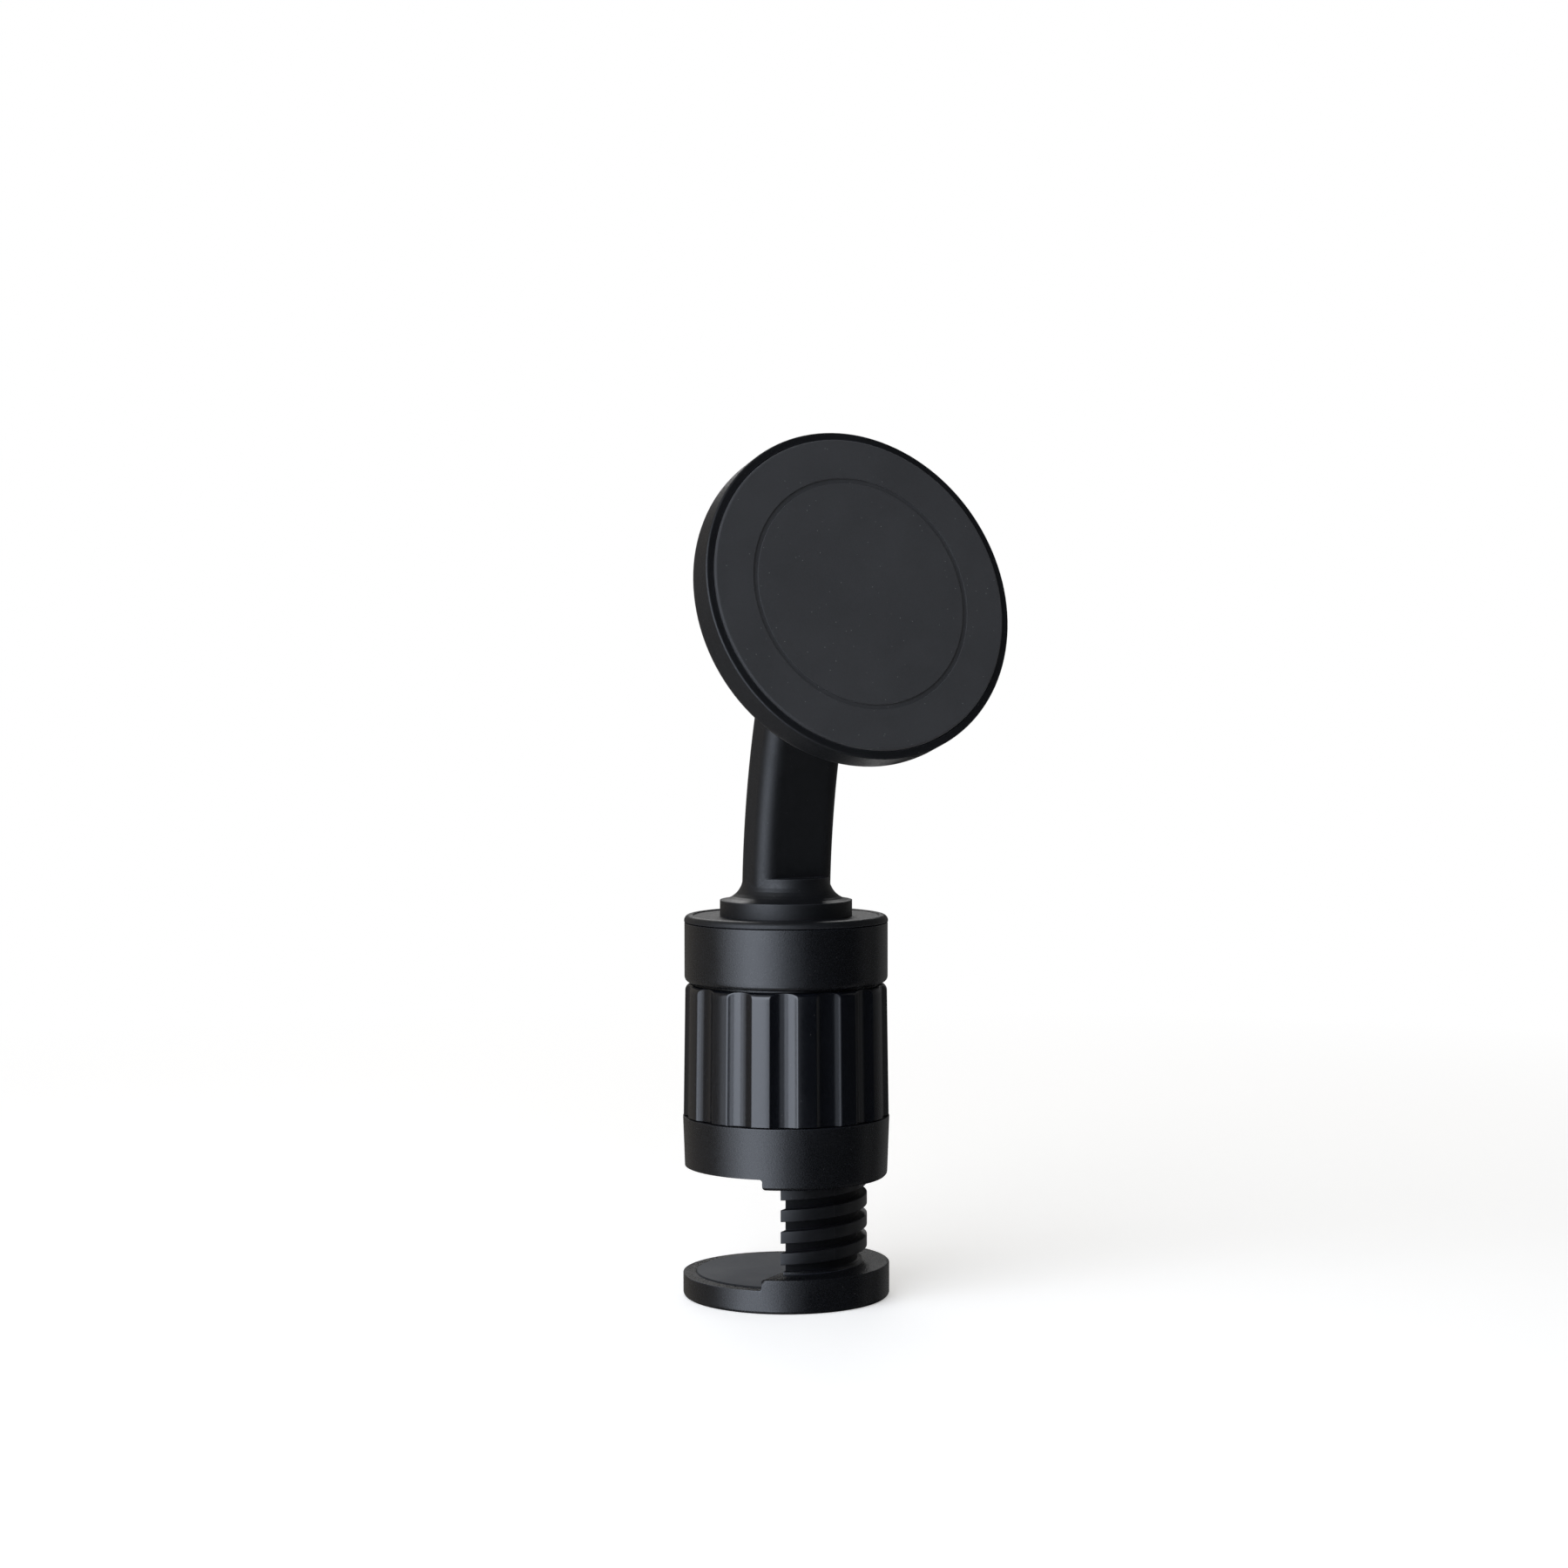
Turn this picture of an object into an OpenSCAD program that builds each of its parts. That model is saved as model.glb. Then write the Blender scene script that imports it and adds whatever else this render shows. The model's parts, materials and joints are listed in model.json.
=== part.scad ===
// Magnetic phone holder with a screw clamp for the edge of a board.
// Origin: on the clamp's axis, at the face that lies on top of the board.
// +Z is up, the board's edge runs along X, the board lies towards +Y.
// A fluted collar turns round a keyed half-round post and draws the lower jaw up.

/* [Clamp jaws] */
// Radius of both jaws at their rims
jaw_r = 18; // [17.5:0.1:20]
// How much smaller the upper jaw is at its lower edge
jaw_draft = 0.35; // [0:0.05:0.8]
// Height of the upper jaw above the board
base_h = 8.95; // [8:0.05:14]
// Height of the lower jaw from its lip to its bottom
lower_jaw_h = 5.95; // [5:0.05:10]
// How far each jaw's lip reaches past the face of its pad
lip_h = 1.65; // [1.2:0.05:2.5]
// Distance from the axis to the stop that the board's edge meets
stop_y = 4; // [3.4:0.1:4.2]
// Rounding at the root and the lip of the stop
stop_round = 0.45; // [0.2:0.05:0.55]
// Rounding of the upper jaw's lower edge
base_round = 0.9; // [0.4:0.1:1.2]
// Rounding of the lower jaw's bottom edge
foot_round = 0.8; // [0.4:0.1:1.2]
// Rounding of the edges that show a light line
rim_round = 0.3; // [0.15:0.05:0.5]
// Opening between the two pads as it stands
gap = 18.35; // [16:0.05:20]

/* [Pads] */
// Thickness of the grip pads on the jaws
pad_t = 1.2; // [0.8:0.1:2]
// How far a pad stands out of its pocket
pad_proud = 0.25; // [0.1:0.05:0.5]
// Width of each jaw round its pad
pad_rim = 2.4; // [2:0.1:4]
// Clearance round a pad in its pocket
pad_fit = 0.1; // [0.05:0.05:0.2]

/* [Post and thread] */
// Gap between the post's thread and the rings that guide the collar
post_gap = 0.5; // [0.35:0.05:0.8]
// Depth of the thread
thread_depth = 1.7; // [1.4:0.05:1.9]
// Rise of the thread in one turn
pitch = 3.7; // [3.4:0.05:4.2]
// Height of one ridge of the post's thread
ridge_w = 2.05; // [1.8:0.05:2.2]
// Clearance at each side of a ridge, and beyond its crest and root
thread_fit = 0.25; // [0.2:0.01:0.28]
// Height of the lowest ridge's middle above the lower jaw's lip
first_ridge = 3.5; // [3.2:0.05:4.5]
// Height of the low foot where the post leaves the lower jaw
post_foot_h = 0.6; // [0.3:0.1:1]
// How far the foot reaches past the post's core
post_foot_w = 0.8; // [0.4:0.1:1.2]
// Sliding clearance of the post in the upper jaw
post_fit = 0.25; // [0.15:0.01:0.35]
// How far the jaw can rise from where it stands
travel_up = 12.5; // [8:0.5:13]
// Room left over the post when the jaw is fully up
post_room = 0.5; // [0.3:0.1:1]
// Thickness of the cap over the post's pocket
pocket_roof = 2.1; // [1.5:0.1:4]

/* [Collar] */
// Height of the fluted collar
collar_h = 22.8; // [20:0.1:26]
// Gap below the collar
collar_gap = 0.15; // [0.1:0.05:0.3]
// How much smaller the collar is at its top
collar_draft = 0.33; // [0:0.01:0.6]
// Rounding of the collar's top edge
collar_round = 1.1; // [0.6:0.1:1.4]
// Number of flutes round the collar
flutes = 14; // [10:1:18]
// Width of one flute across its edges
flute_w = 4.7; // [3:0.1:5]
// Depth of one flute
flute_depth = 0.75; // [0.4:0.05:0.9]
// Thickness of the collar's wall where it runs on its rings
collar_wall = 2.1; // [1.9:0.1:2.4]
// Width of those rings
guide_w = 1.25; // [1:0.05:1.3]
// Height of the ring on the upper jaw
guide_h = 1.4; // [1:0.1:2]
// Running clearance of the collar on its rings
run_fit = 0.05; // [0.03:0.01:0.1]
// Thickness of the slip washer under the collar
slip_t = 0.5; // [0.3:0.1:1]

/* [Cap] */
// How much smaller the cap's radius is than the jaws'
cap_inset = 0.3; // [0:0.05:0.6]
// Height of the cap
cap_h = 10.45; // [10.2:0.05:13]
// Gap between the collar and the cap
cap_gap = 0.3; // [0.2:0.05:0.5]
// Rounding of the cap's lower edge
cap_round = 1.1; // [0.6:0.1:1.6]
// Thickness of the cap's rim round the turret
cap_rim = 1.3; // [1:0.1:1.6]
// Depth of the seat in the cap for the turret
seat_depth = 2.05; // [1.8:0.05:2.4]
// Wall between the swivel's room and the pockets of the cap's screws
cap_screw_wall = 0.4; // [0.3:0.1:0.6]
// Length of the cap's screws under the head
cap_screw_l = 15; // [12:0.5:18]

/* [Turret] */
// Gap below the turret
turret_gap = 0.15; // [0.1:0.05:0.3]
// How far the turret's shoulder stands past the cap
turret_lip = 0.06; // [0:0.01:0.2]
// Height of the turret's shoulder above the cap
turret_h = 1.15; // [0.9:0.05:1.6]
// Rounding of the turret's shoulder
turret_round = 1; // [0.5:0.05:1.1]
// Width of the flat band inside the shoulder
turret_band = 0.5; // [0.3:0.1:1]
// Depth of the turret's flat top below that band
turret_dish = 0.25; // [0.1:0.05:0.4]
// Clearance of the turret in the cap's seat
turret_fit = 0.3; // [0.2:0.05:0.5]
// Radius of the turret's stem
stem_r = 3.5; // [3.2:0.1:3.8]
// Length of the cap's bore for the stem
stem_bore_l = 4.2; // [3.5:0.1:4.6]
// Radius of the swivel washer
swivel_washer_r = 4.9; // [4.6:0.1:5]
// Thickness of the swivel washer
swivel_washer_t = 1; // [0.6:0.1:1.4]

/* [Screws] */
// Radius of the small screws' shanks
screw_r = 1.5; // [1.2:0.1:1.6]
// Radius of the small screws' heads
screw_head_r = 2.8; // [2.4:0.1:3]
// Height of the small screws' heads
screw_head_h = 1.8; // [1.4:0.1:2]
// Clearance round the screws' shanks
screw_fit = 0.06; // [0.04:0.01:0.2]
// Clearance round the screws' heads
head_fit = 0.25; // [0.15:0.05:0.4]
// Length of the swivel and spindle screws under the head
short_screw_l = 5; // [4:0.5:6]

/* [Arm] */
// Direction in which the head faces, about Z from +X
head_turn = -125; // [-180:1:180]
// Distance from the axis to the middle of the magnet face
head_reach = 26.6; // [24:0.1:36]
// Height of the middle of the magnet face above the board
head_z = 99.3; // [90:0.1:120]
// Lean of the head away from upright
head_lean = 17.2; // [5:0.1:30]
// Width of the arm
arm_w = 15; // [14:0.5:18]
// Thickness of the arm
arm_t = 9; // [7:0.5:11]
// Rounding of the arm's long edges
arm_round = 3; // [1.5:0.5:3.4]
// Width of the turret's top that shows round the arm's foot
arm_foot_land = 4.5; // [3:0.1:5.5]
// Height of the straight edge of the arm's foot
arm_foot_edge = 2.8; // [2.5:0.1:4]
// Radius of the hollow sweep from the foot into the arm
arm_foot_sweep = 4; // [2:0.5:5]
// Distance from the foot's edge to the middle of its screws
arm_screw_inset = 3.3; // [3:0.1:3.5]
// Length of the foot's screws under the head
arm_screw_l = 3.4; // [2.6:0.1:3.6]

/* [Tilt hinge] */
// Radius of the hinge's tongue and ears
ear_r = 6.2; // [5.8:0.1:6.6]
// Width of the tongue on the arm
tongue_w = 6; // [5:0.1:7]
// Thickness of each ear on the knuckle
ear_t = 3.8; // [3:0.1:5]
// Width of the neck between each ear and the knuckle's plate
ear_neck_w = 10; // [8:0.5:10.5]
// Thickness of the friction washers
disc_t = 0.5; // [0.3:0.1:0.8]
// Gap at each side of a friction washer
disc_gap = 0.06; // [0.04:0.01:0.1]
// Radius of the hinge's bolt
bolt_r = 2; // [1.5:0.1:2.5]
// Radius of the bolt's head
bolt_head_r = 3.6; // [3.3:0.1:4]
// Depth of the pockets for the bolt's head and its nut
ear_pocket = 1.9; // [1.5:0.1:2.2]
// Width across the corners of the nut
nut_across = 7.6; // [6.6:0.1:8]
// Room between the tongue and the knuckle's plate
knuckle_room = 0.8; // [0.5:0.1:1.5]
// Thickness of the knuckle's round plate
plate_t = 2; // [1.6:0.1:2.4]
// Radius of the knuckle's round plate
plate_r = 9.5; // [9:0.1:11]

/* [Magnet head] */
// Radius of the head
head_r = 28.5; // [28:0.1:31]
// Gap between the knuckle's plate and the head
head_gap = 0.2; // [0.1:0.05:0.4]
// Thickness of the shell's back
shell_back = 1.8; // [1.4:0.1:2]
// Thickness of the shell's wall
shell_wall = 2.2; // [1.8:0.1:2.8]
// Rounding of the shell's back edge
shell_round = 2.4; // [1.5:0.1:3]
// Radius of the spindle on which the head turns
spindle_r = 5; // [4.6:0.1:5.4]
// Gap between the spindle's screw and the front plate
spindle_room = 0.8; // [0.4:0.1:1.2]
// Width of the shell's hub round the spindle
hub_w = 3; // [2:0.1:4]
// Thickness of the spindle washer
spindle_washer_t = 0.7; // [0.5:0.1:0.8]
// Height of the spindle screw's flat head
flat_head_h = 1; // [0.8:0.1:1.2]
// Width of the magnet ring
magnet_w = 6; // [5:0.1:6.4]
// Thickness of the magnets
magnet_t = 2.4; // [2:0.1:3]
// Gap between the magnets and the front plate
magnet_room = 0.3; // [0.1:0.1:0.5]
// Thickness of the steel ring behind the magnets
yoke_t = 1; // [0.8:0.1:1.5]
// Number of magnets
magnet_count = 18; // [12:1:24]
// Gap between one magnet and the next
magnet_gap = 1.2; // [0.8:0.1:2]
// Thickness of the plate in front of the magnets
front_t = 1; // [0.8:0.1:1.2]
// Width of the ledge that carries the front plate
ledge_w = 0.9; // [0.7:0.1:1.2]
// Thickness of the face pad
face_t = 0.8; // [0.6:0.1:1]
// How far the shell's rim comes up round the face pad
rim_up = 0.3; // [0.1:0.1:0.5]
// Rounding of the face pad's edge
face_round = 0.35; // [0.2:0.05:0.5]
// Width of the groove that rings the middle of the face pad
face_groove_w = 0.9; // [0.4:0.1:1.5]
// Depth of that groove
face_groove_d = 0.3; // [0.1:0.1:0.5]
// Clearance between the nested parts of the head
nest_fit = 0.12; // [0.08:0.01:0.2]

/* [Hidden] */
$fn = 96;
// Overlap that joins two solids of one piece, and overrun of a cut
bite = 0.5;
// Length that is longer than any cut needs
far = 60;
// Fineness of the small arcs in outlines
arc_steps = 8;

// Radii in the clamp, from the jaws inwards
cap_r = jaw_r - cap_inset;
pad_r = jaw_r - pad_rim;
guide_r = jaw_r - collar_wall - run_fit;
post_r = guide_r - guide_w - post_gap;
swivel_room_r = swivel_washer_r + head_fit;
post_flat_y = swivel_room_r + post_fit;
cap_screw_pos_r = swivel_room_r + cap_screw_wall + screw_head_r + head_fit;

// Heights in the clamp
jaw_face_z = pad_proud;
lip_z = -lip_h;
collar_z = base_h + collar_gap;
collar_top_z = collar_z + collar_h;
cap_z = collar_top_z + cap_gap;
cap_top_z = cap_z + cap_h;
seat_z = cap_top_z - seat_depth;
turret_z = seat_z + turret_gap;
turret_rim_z = cap_top_z + turret_gap + turret_h;
turret_top_z = turret_rim_z - turret_dish;
lower_face_z = -gap - pad_proud;
lower_lip_z = -gap + lip_h;
lower_bottom_z = lower_lip_z - lower_jaw_h;
pocket_top_z = seat_z - pocket_roof;
post_top_z = pocket_top_z - post_room - travel_up;

// Pad outlines stay clear of the stop's rounded root
pad_edge_y = -stop_y + stop_round + 0.6;

// Thread
root_r = post_r - thread_depth;
groove_w = pitch - ridge_w;
ridge_z = lower_lip_z + first_ridge;
// Half of the arc that the post's thread covers
thread_arc = acos(post_flat_y / post_r);
// Lean of the post's flat ridges, which follows the helix over that arc
ridge_lean = atan(pitch * thread_arc / 360 / (post_r * sin(thread_arc)));
groove_count = floor((post_top_z - ridge_z) / pitch - 0.5);
// Height of the bare end of the post, down to the middle of its last groove
lead_h = post_top_z - ridge_z - (groove_count + 0.5) * pitch;
collar_ridge_w = groove_w - 2 * thread_fit;
collar_minor_r = root_r + thread_fit;
collar_major_r = post_r + thread_fit;
// Steps of the collar's thread in one turn
turn_steps = 32;

// Upper jaw's tower inside the collar
slot_y = post_flat_y - post_fit;
slot_r = post_r + post_fit;
tower_r = collar_minor_r - 0.4;
slip_z = base_h + guide_h;
lower_bore_h = guide_h + slip_t + 0.1 - collar_gap;
upper_bore_h = guide_h + cap_gap + 0.1;
cap_screw_turns = [15, 90, 165];

// Swivel
stem_low_z = seat_z - stem_bore_l - 0.15;
swivel_head_z = stem_low_z - swivel_washer_t;

// Turret and the foot of the arm
shoulder_r = cap_r + turret_lip;
turret_top_r = shoulder_r - turret_round - turret_band - turret_dish;
arm_foot_r = turret_top_r - arm_foot_land;
arm_screw_r = arm_foot_r - arm_screw_inset;
arm_screw_z = turret_z + screw_head_h + 0.1;

// Head, measured from the hinge's axis along the head's own axis
plate_x = ear_r + knuckle_room;
shell_x = plate_x + plate_t + head_gap;
floor_x = shell_x + shell_back;
front_x = floor_x + yoke_t + magnet_t + magnet_room;
face_x = front_x + front_t;
head_depth = face_x + face_t;
rim_x = face_x + rim_up;
hub_x = front_x - spindle_room - flat_head_h - spindle_washer_t - 0.12;
spindle_x = hub_x + 0.12;
wall_in_r = head_r - shell_wall;
rebate_r = wall_in_r + ledge_w;
magnet_out_r = wall_in_r - nest_fit;
magnet_in_r = magnet_out_r - magnet_w;

// Hinge
pivot_x = head_reach - head_depth * cos(head_lean);
pivot_z = head_z - head_depth * sin(head_lean);
arm_rise = pivot_z - turret_top_z;
arm_curve_r = (pivot_x * pivot_x + arm_rise * arm_rise) / (2 * pivot_x);
arm_sweep = asin(arm_rise / arm_curve_r);
ear_y = tongue_w / 2 + disc_t + 2 * disc_gap;
ear_out_y = ear_y + ear_t;

// Arc from angle a to angle b about a centre, as outline points
function arc(cx, cy, r, a, b) =
    [for (i = [0 : arc_steps]) [cx + r * cos(a + (b - a) * i / arc_steps),
                                cy + r * sin(a + (b - a) * i / arc_steps)]];

// Half disc on the user's side of a flat at distance y, from z0 up to z1
module post_slice(r, y, z0, z1) {
    translate([0, 0, z0])
        intersection() {
            cylinder(r = r, h = z1 - z0);
            translate([-far, -2 * far - y, -bite])
                cube([2 * far, 2 * far, z1 - z0 + 2 * bite]);
        }
}

// Half disc on the board's side of a flat at height y, from z0 up to z1
module tower_slice(r, y, z0, z1) {
    translate([0, 0, z0])
        intersection() {
            cylinder(r = r, h = z1 - z0);
            translate([-far, y, -bite])
                cube([2 * far, 2 * far, z1 - z0 + 2 * bite]);
        }
}

// Space of the board against the stop: everything beyond the stop, from the face
// away from the jaw, with a rounded root and a rounded lip
module board_space(depth) {
    rotate([90, 0, 90])
        translate([0, 0, -far])
            linear_extrude(height = 2 * far)
                polygon(concat(
                    arc(-stop_y + stop_round, -stop_round, stop_round, 90, 180),
                    arc(-stop_y - stop_round, -depth + stop_round, stop_round, 0, -90),
                    [[-stop_y - stop_round, -depth - bite], [far, -depth - bite], [far, 0]]
                ));
}

// Ring between two radii
module ring(r_in, r_out, h) {
    difference() {
        cylinder(r = r_out, h = h);
        translate([0, 0, -bite])
            cylinder(r = r_in, h = h + 2 * bite);
    }
}

// Screw with a round head above z = 0, a hexagon socket and its shank below
module screw(head_h, length) {
    difference() {
        cylinder(r = screw_head_r, h = head_h);
        translate([0, 0, head_h / 3])
            cylinder(r = screw_head_r / 2, h = head_h, $fn = 6);
    }
    translate([0, 0, -length])
        cylinder(r = screw_r, h = length + head_h / 3 - 0.05);
}

// Hole for a screw's shank below z = 0
module screw_hole(length) {
    translate([0, 0, -length])
        cylinder(r = screw_r + screw_fit, h = length + bite);
}

module upper_jaw() {
    color([0.16, 0.165, 0.175])
    difference() {
        union() {
            rotate_extrude()
                polygon(concat(
                    [[0, lip_z]],
                    arc(jaw_r - jaw_draft - base_round, lip_z + base_round, base_round, -90, 0),
                    arc(jaw_r - rim_round / 2, base_h - rim_round / 2, rim_round / 2, 0, 90),
                    [[0, base_h]]
                ));
            translate([0, 0, base_h - bite])
                ring(guide_r - guide_w, guide_r, guide_h + bite);
            tower_slice(tower_r, -slot_y, base_h - bite, cap_z);
        }
        translate([0, 0, jaw_face_z])
            board_space(lip_h + jaw_face_z);
        post_slice(slot_r, slot_y, lip_z - bite, base_h + bite);
        tower_slice(pad_r + pad_fit, pad_edge_y - pad_fit, lip_z, pad_t);
        for (a = cap_screw_turns)
            rotate([0, 0, a])
                translate([cap_screw_pos_r, 0, cap_z])
                    screw_hole(cap_screw_l - (seat_z - cap_z) + screw_head_h + bite);
    }
}

module upper_jaw_pad() {
    color([0.22, 0.22, 0.225])
        tower_slice(pad_r, pad_edge_y, 0, pad_t);
}

// One groove of the thread: a leaning slab outside the post's core
module thread_groove(z, w) {
    difference() {
        translate([0, 0, z])
            rotate([0, -ridge_lean, 0])
                cube([2 * far, 2 * far, w], center = true);
        translate([0, 0, z - far])
            cylinder(r = root_r, h = 2 * far);
    }
}

module threaded_post() {
    neck_h = ridge_z - ridge_w / 2 - lower_lip_z;
    difference() {
        post_slice(post_r, post_flat_y, lower_lip_z - bite, post_top_z);
        for (k = [0 : groove_count])
            thread_groove(ridge_z + (k + 0.5) * pitch, groove_w);
        translate([0, 0, post_top_z - lead_h])
            ring(root_r, far, far);
        intersection() {
            thread_groove(ridge_z - ridge_w / 2 - neck_h, 2 * neck_h);
            translate([-far, -far, lower_lip_z])
                cube([2 * far, 2 * far, far]);
        }
    }
    post_slice(root_r + post_foot_w, post_flat_y, lower_lip_z - bite, lower_lip_z + post_foot_h);
}

module screw_jaw() {
    color([0.16, 0.165, 0.175]) {
        difference() {
            rotate_extrude()
                polygon(concat(
                    [[0, lower_bottom_z]],
                    arc(jaw_r - foot_round, lower_bottom_z + foot_round, foot_round, -90, 0),
                    arc(jaw_r - rim_round, lower_lip_z - rim_round, rim_round, 0, 90),
                    [[0, lower_lip_z]]
                ));
            translate([0, 0, lower_face_z])
                mirror([0, 0, 1])
                    board_space(lip_h + pad_proud);
            tower_slice(pad_r + pad_fit, pad_edge_y - pad_fit, -gap - pad_t, lower_lip_z + bite);
        }
        threaded_post();
    }
}

module lower_jaw_pad() {
    color([0.22, 0.22, 0.225])
        tower_slice(pad_r, pad_edge_y, -gap - pad_t, -gap);
}

// Ridge that winds up the collar's bore and runs in the grooves of the post
module collar_thread() {
    w = collar_ridge_w / 2;
    low = collar_z + lower_bore_h + 0.3;
    high = collar_top_z - upper_bore_h - 0.3;
    // Middle of the groove that faces the user, lowered to the collar's lower end
    z0 = ridge_z + pitch / 2 + pitch * ceil((low + w - ridge_z - pitch / 2) / pitch);
    steps = floor((high - w - z0) / pitch * turn_steps);
    section = [[collar_minor_r, -w], [collar_major_r + bite, -w],
               [collar_major_r + bite, w], [collar_minor_r, w]];
    points = [for (i = [0 : steps], s = section)
        [s[0] * cos(360 * i / turn_steps - 90),
         s[0] * sin(360 * i / turn_steps - 90),
         z0 + pitch * i / turn_steps + s[1]]];
    sides = [for (i = [0 : steps - 1], j = [0 : 3], t = [0, 1])
        let (a = 4 * i + j, b = 4 * i + (j + 1) % 4)
        t == 0 ? [a, b, b + 4] : [a, b + 4, a + 4]];
    last = 4 * steps;
    ends = [[0, 2, 1], [0, 3, 2], [last, last + 1, last + 2], [last, last + 2, last + 3]];
    polyhedron(points, concat(sides, ends));
}

module clamp_collar() {
    // Radius of the cutter that leaves a flute of the stated width and depth
    cutter_r = (flute_w * flute_w / 4 + flute_depth * flute_depth) / (2 * flute_depth);
    lean = atan(collar_draft / collar_h);
    color([0.19, 0.195, 0.21]) {
        difference() {
            rotate_extrude()
                polygon(concat(
                    [[0, collar_z], [jaw_r, collar_z]],
                    arc(jaw_r - collar_draft - collar_round, collar_top_z - collar_round,
                        collar_round, 0, 90),
                    [[0, collar_top_z]]
                ));
            for (i = [0 : flutes - 1])
                rotate([0, 0, -154.8 + 360 / flutes * i])
                    translate([jaw_r - flute_depth + cutter_r, 0, collar_z])
                        rotate([0, -lean, 0])
                            translate([0, 0, -bite])
                                cylinder(r = cutter_r, h = collar_h + 2 * bite);
            translate([0, 0, collar_z - bite])
                cylinder(r = collar_major_r, h = collar_h + 2 * bite);
            translate([0, 0, collar_z - bite])
                cylinder(r = guide_r + run_fit, h = lower_bore_h + bite);
            translate([0, 0, collar_top_z - upper_bore_h])
                cylinder(r = guide_r + run_fit, h = upper_bore_h + bite);
        }
        collar_thread();
    }
}

module slip_washer() {
    color([0.85, 0.85, 0.82])
        translate([0, 0, slip_z])
            ring(guide_r - guide_w, guide_r - run_fit, slip_t);
}

module cap() {
    color([0.16, 0.165, 0.175])
    difference() {
        union() {
            rotate_extrude()
                polygon(concat(
                    [[0, cap_z]],
                    arc(cap_r - cap_round, cap_z + cap_round, cap_round, -90, 0),
                    arc(cap_r - rim_round / 2, cap_top_z - rim_round / 2, rim_round / 2, 0, 90),
                    [[0, cap_top_z]]
                ));
            translate([0, 0, cap_z - cap_gap - guide_h])
                ring(guide_r - guide_w, guide_r, guide_h + cap_gap + bite);
        }
        translate([0, 0, seat_z])
            cylinder(r = cap_r - cap_rim, h = seat_depth + bite);
        post_slice(slot_r, slot_y, cap_z - bite, pocket_top_z);
        translate([0, 0, cap_z - bite])
            cylinder(r = swivel_room_r, h = seat_z - stem_bore_l - cap_z + bite);
        translate([0, 0, cap_z])
            cylinder(r = stem_r + run_fit, h = cap_h);
        for (a = cap_screw_turns)
            rotate([0, 0, a])
                translate([cap_screw_pos_r, 0, seat_z - screw_head_h - 0.1]) {
                    screw_hole(cap_h + bite);
                    cylinder(r = screw_head_r + head_fit, h = seat_depth + screw_head_h + 1);
                }
    }
}

module cap_screws() {
    color("dimgray")
        for (a = cap_screw_turns)
            rotate([0, 0, a])
                translate([cap_screw_pos_r, 0, seat_z - screw_head_h - 0.1])
                    screw(screw_head_h, cap_screw_l);
}

// Moves a shape to the direction that the arm faces: its +X runs forward
module facing() {
    rotate([0, 0, head_turn])
        children();
}

// Moves a shape to the tilt hinge: its +Z runs along the head's axis, its +Y along the pin
module at_head() {
    facing()
        translate([pivot_x, 0, pivot_z])
            rotate([0, 90 - head_lean, 0])
                children();
}

// Places of the screws that hold the arm on the turret
module arm_screw_places() {
    facing()
        for (side = [-1, 1])
            translate([0, side * arm_screw_r, 0])
                children();
}

module turret() {
    color([0.15, 0.155, 0.165])
    difference() {
        union() {
            rotate_extrude()
                polygon(concat(
                    [[0, turret_z], [cap_r - cap_rim - turret_fit, turret_z],
                     [cap_r - cap_rim - turret_fit, cap_top_z + turret_gap],
                     [shoulder_r, cap_top_z + turret_gap]],
                    arc(shoulder_r - turret_round, turret_rim_z - turret_round,
                        turret_round, 0, 90),
                    [[turret_top_r + turret_dish, turret_rim_z], [turret_top_r, turret_top_z],
                     [0, turret_top_z]]
                ));
            translate([0, 0, stem_low_z])
                cylinder(r = stem_r, h = turret_z - stem_low_z + bite);
        }
        translate([0, 0, stem_low_z])
            mirror([0, 0, 1])
                screw_hole(short_screw_l + 0.5);
        arm_screw_places()
            translate([0, 0, arm_screw_z])
                mirror([0, 0, 1]) {
                    screw_hole(far);
                    cylinder(r = screw_head_r + head_fit, h = far);
                }
    }
}

module swivel_washer() {
    color("silver")
        translate([0, 0, swivel_head_z])
            ring(screw_r + screw_fit, swivel_washer_r, swivel_washer_t);
}

module swivel_screw() {
    color("dimgray")
        translate([0, 0, swivel_head_z])
            mirror([0, 0, 1])
                screw(screw_head_h, short_screw_l);
}

// Cross-section of the arm: a rectangle with round corners, t thick and w wide
module arm_section(t, w, r) {
    square([t - 2 * r, w], center = true);
    square([t, w - 2 * r], center = true);
    for (x = [-1, 1], y = [-1, 1])
        translate([x * (t / 2 - r), y * (w / 2 - r)])
            circle(r = r);
}

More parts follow.
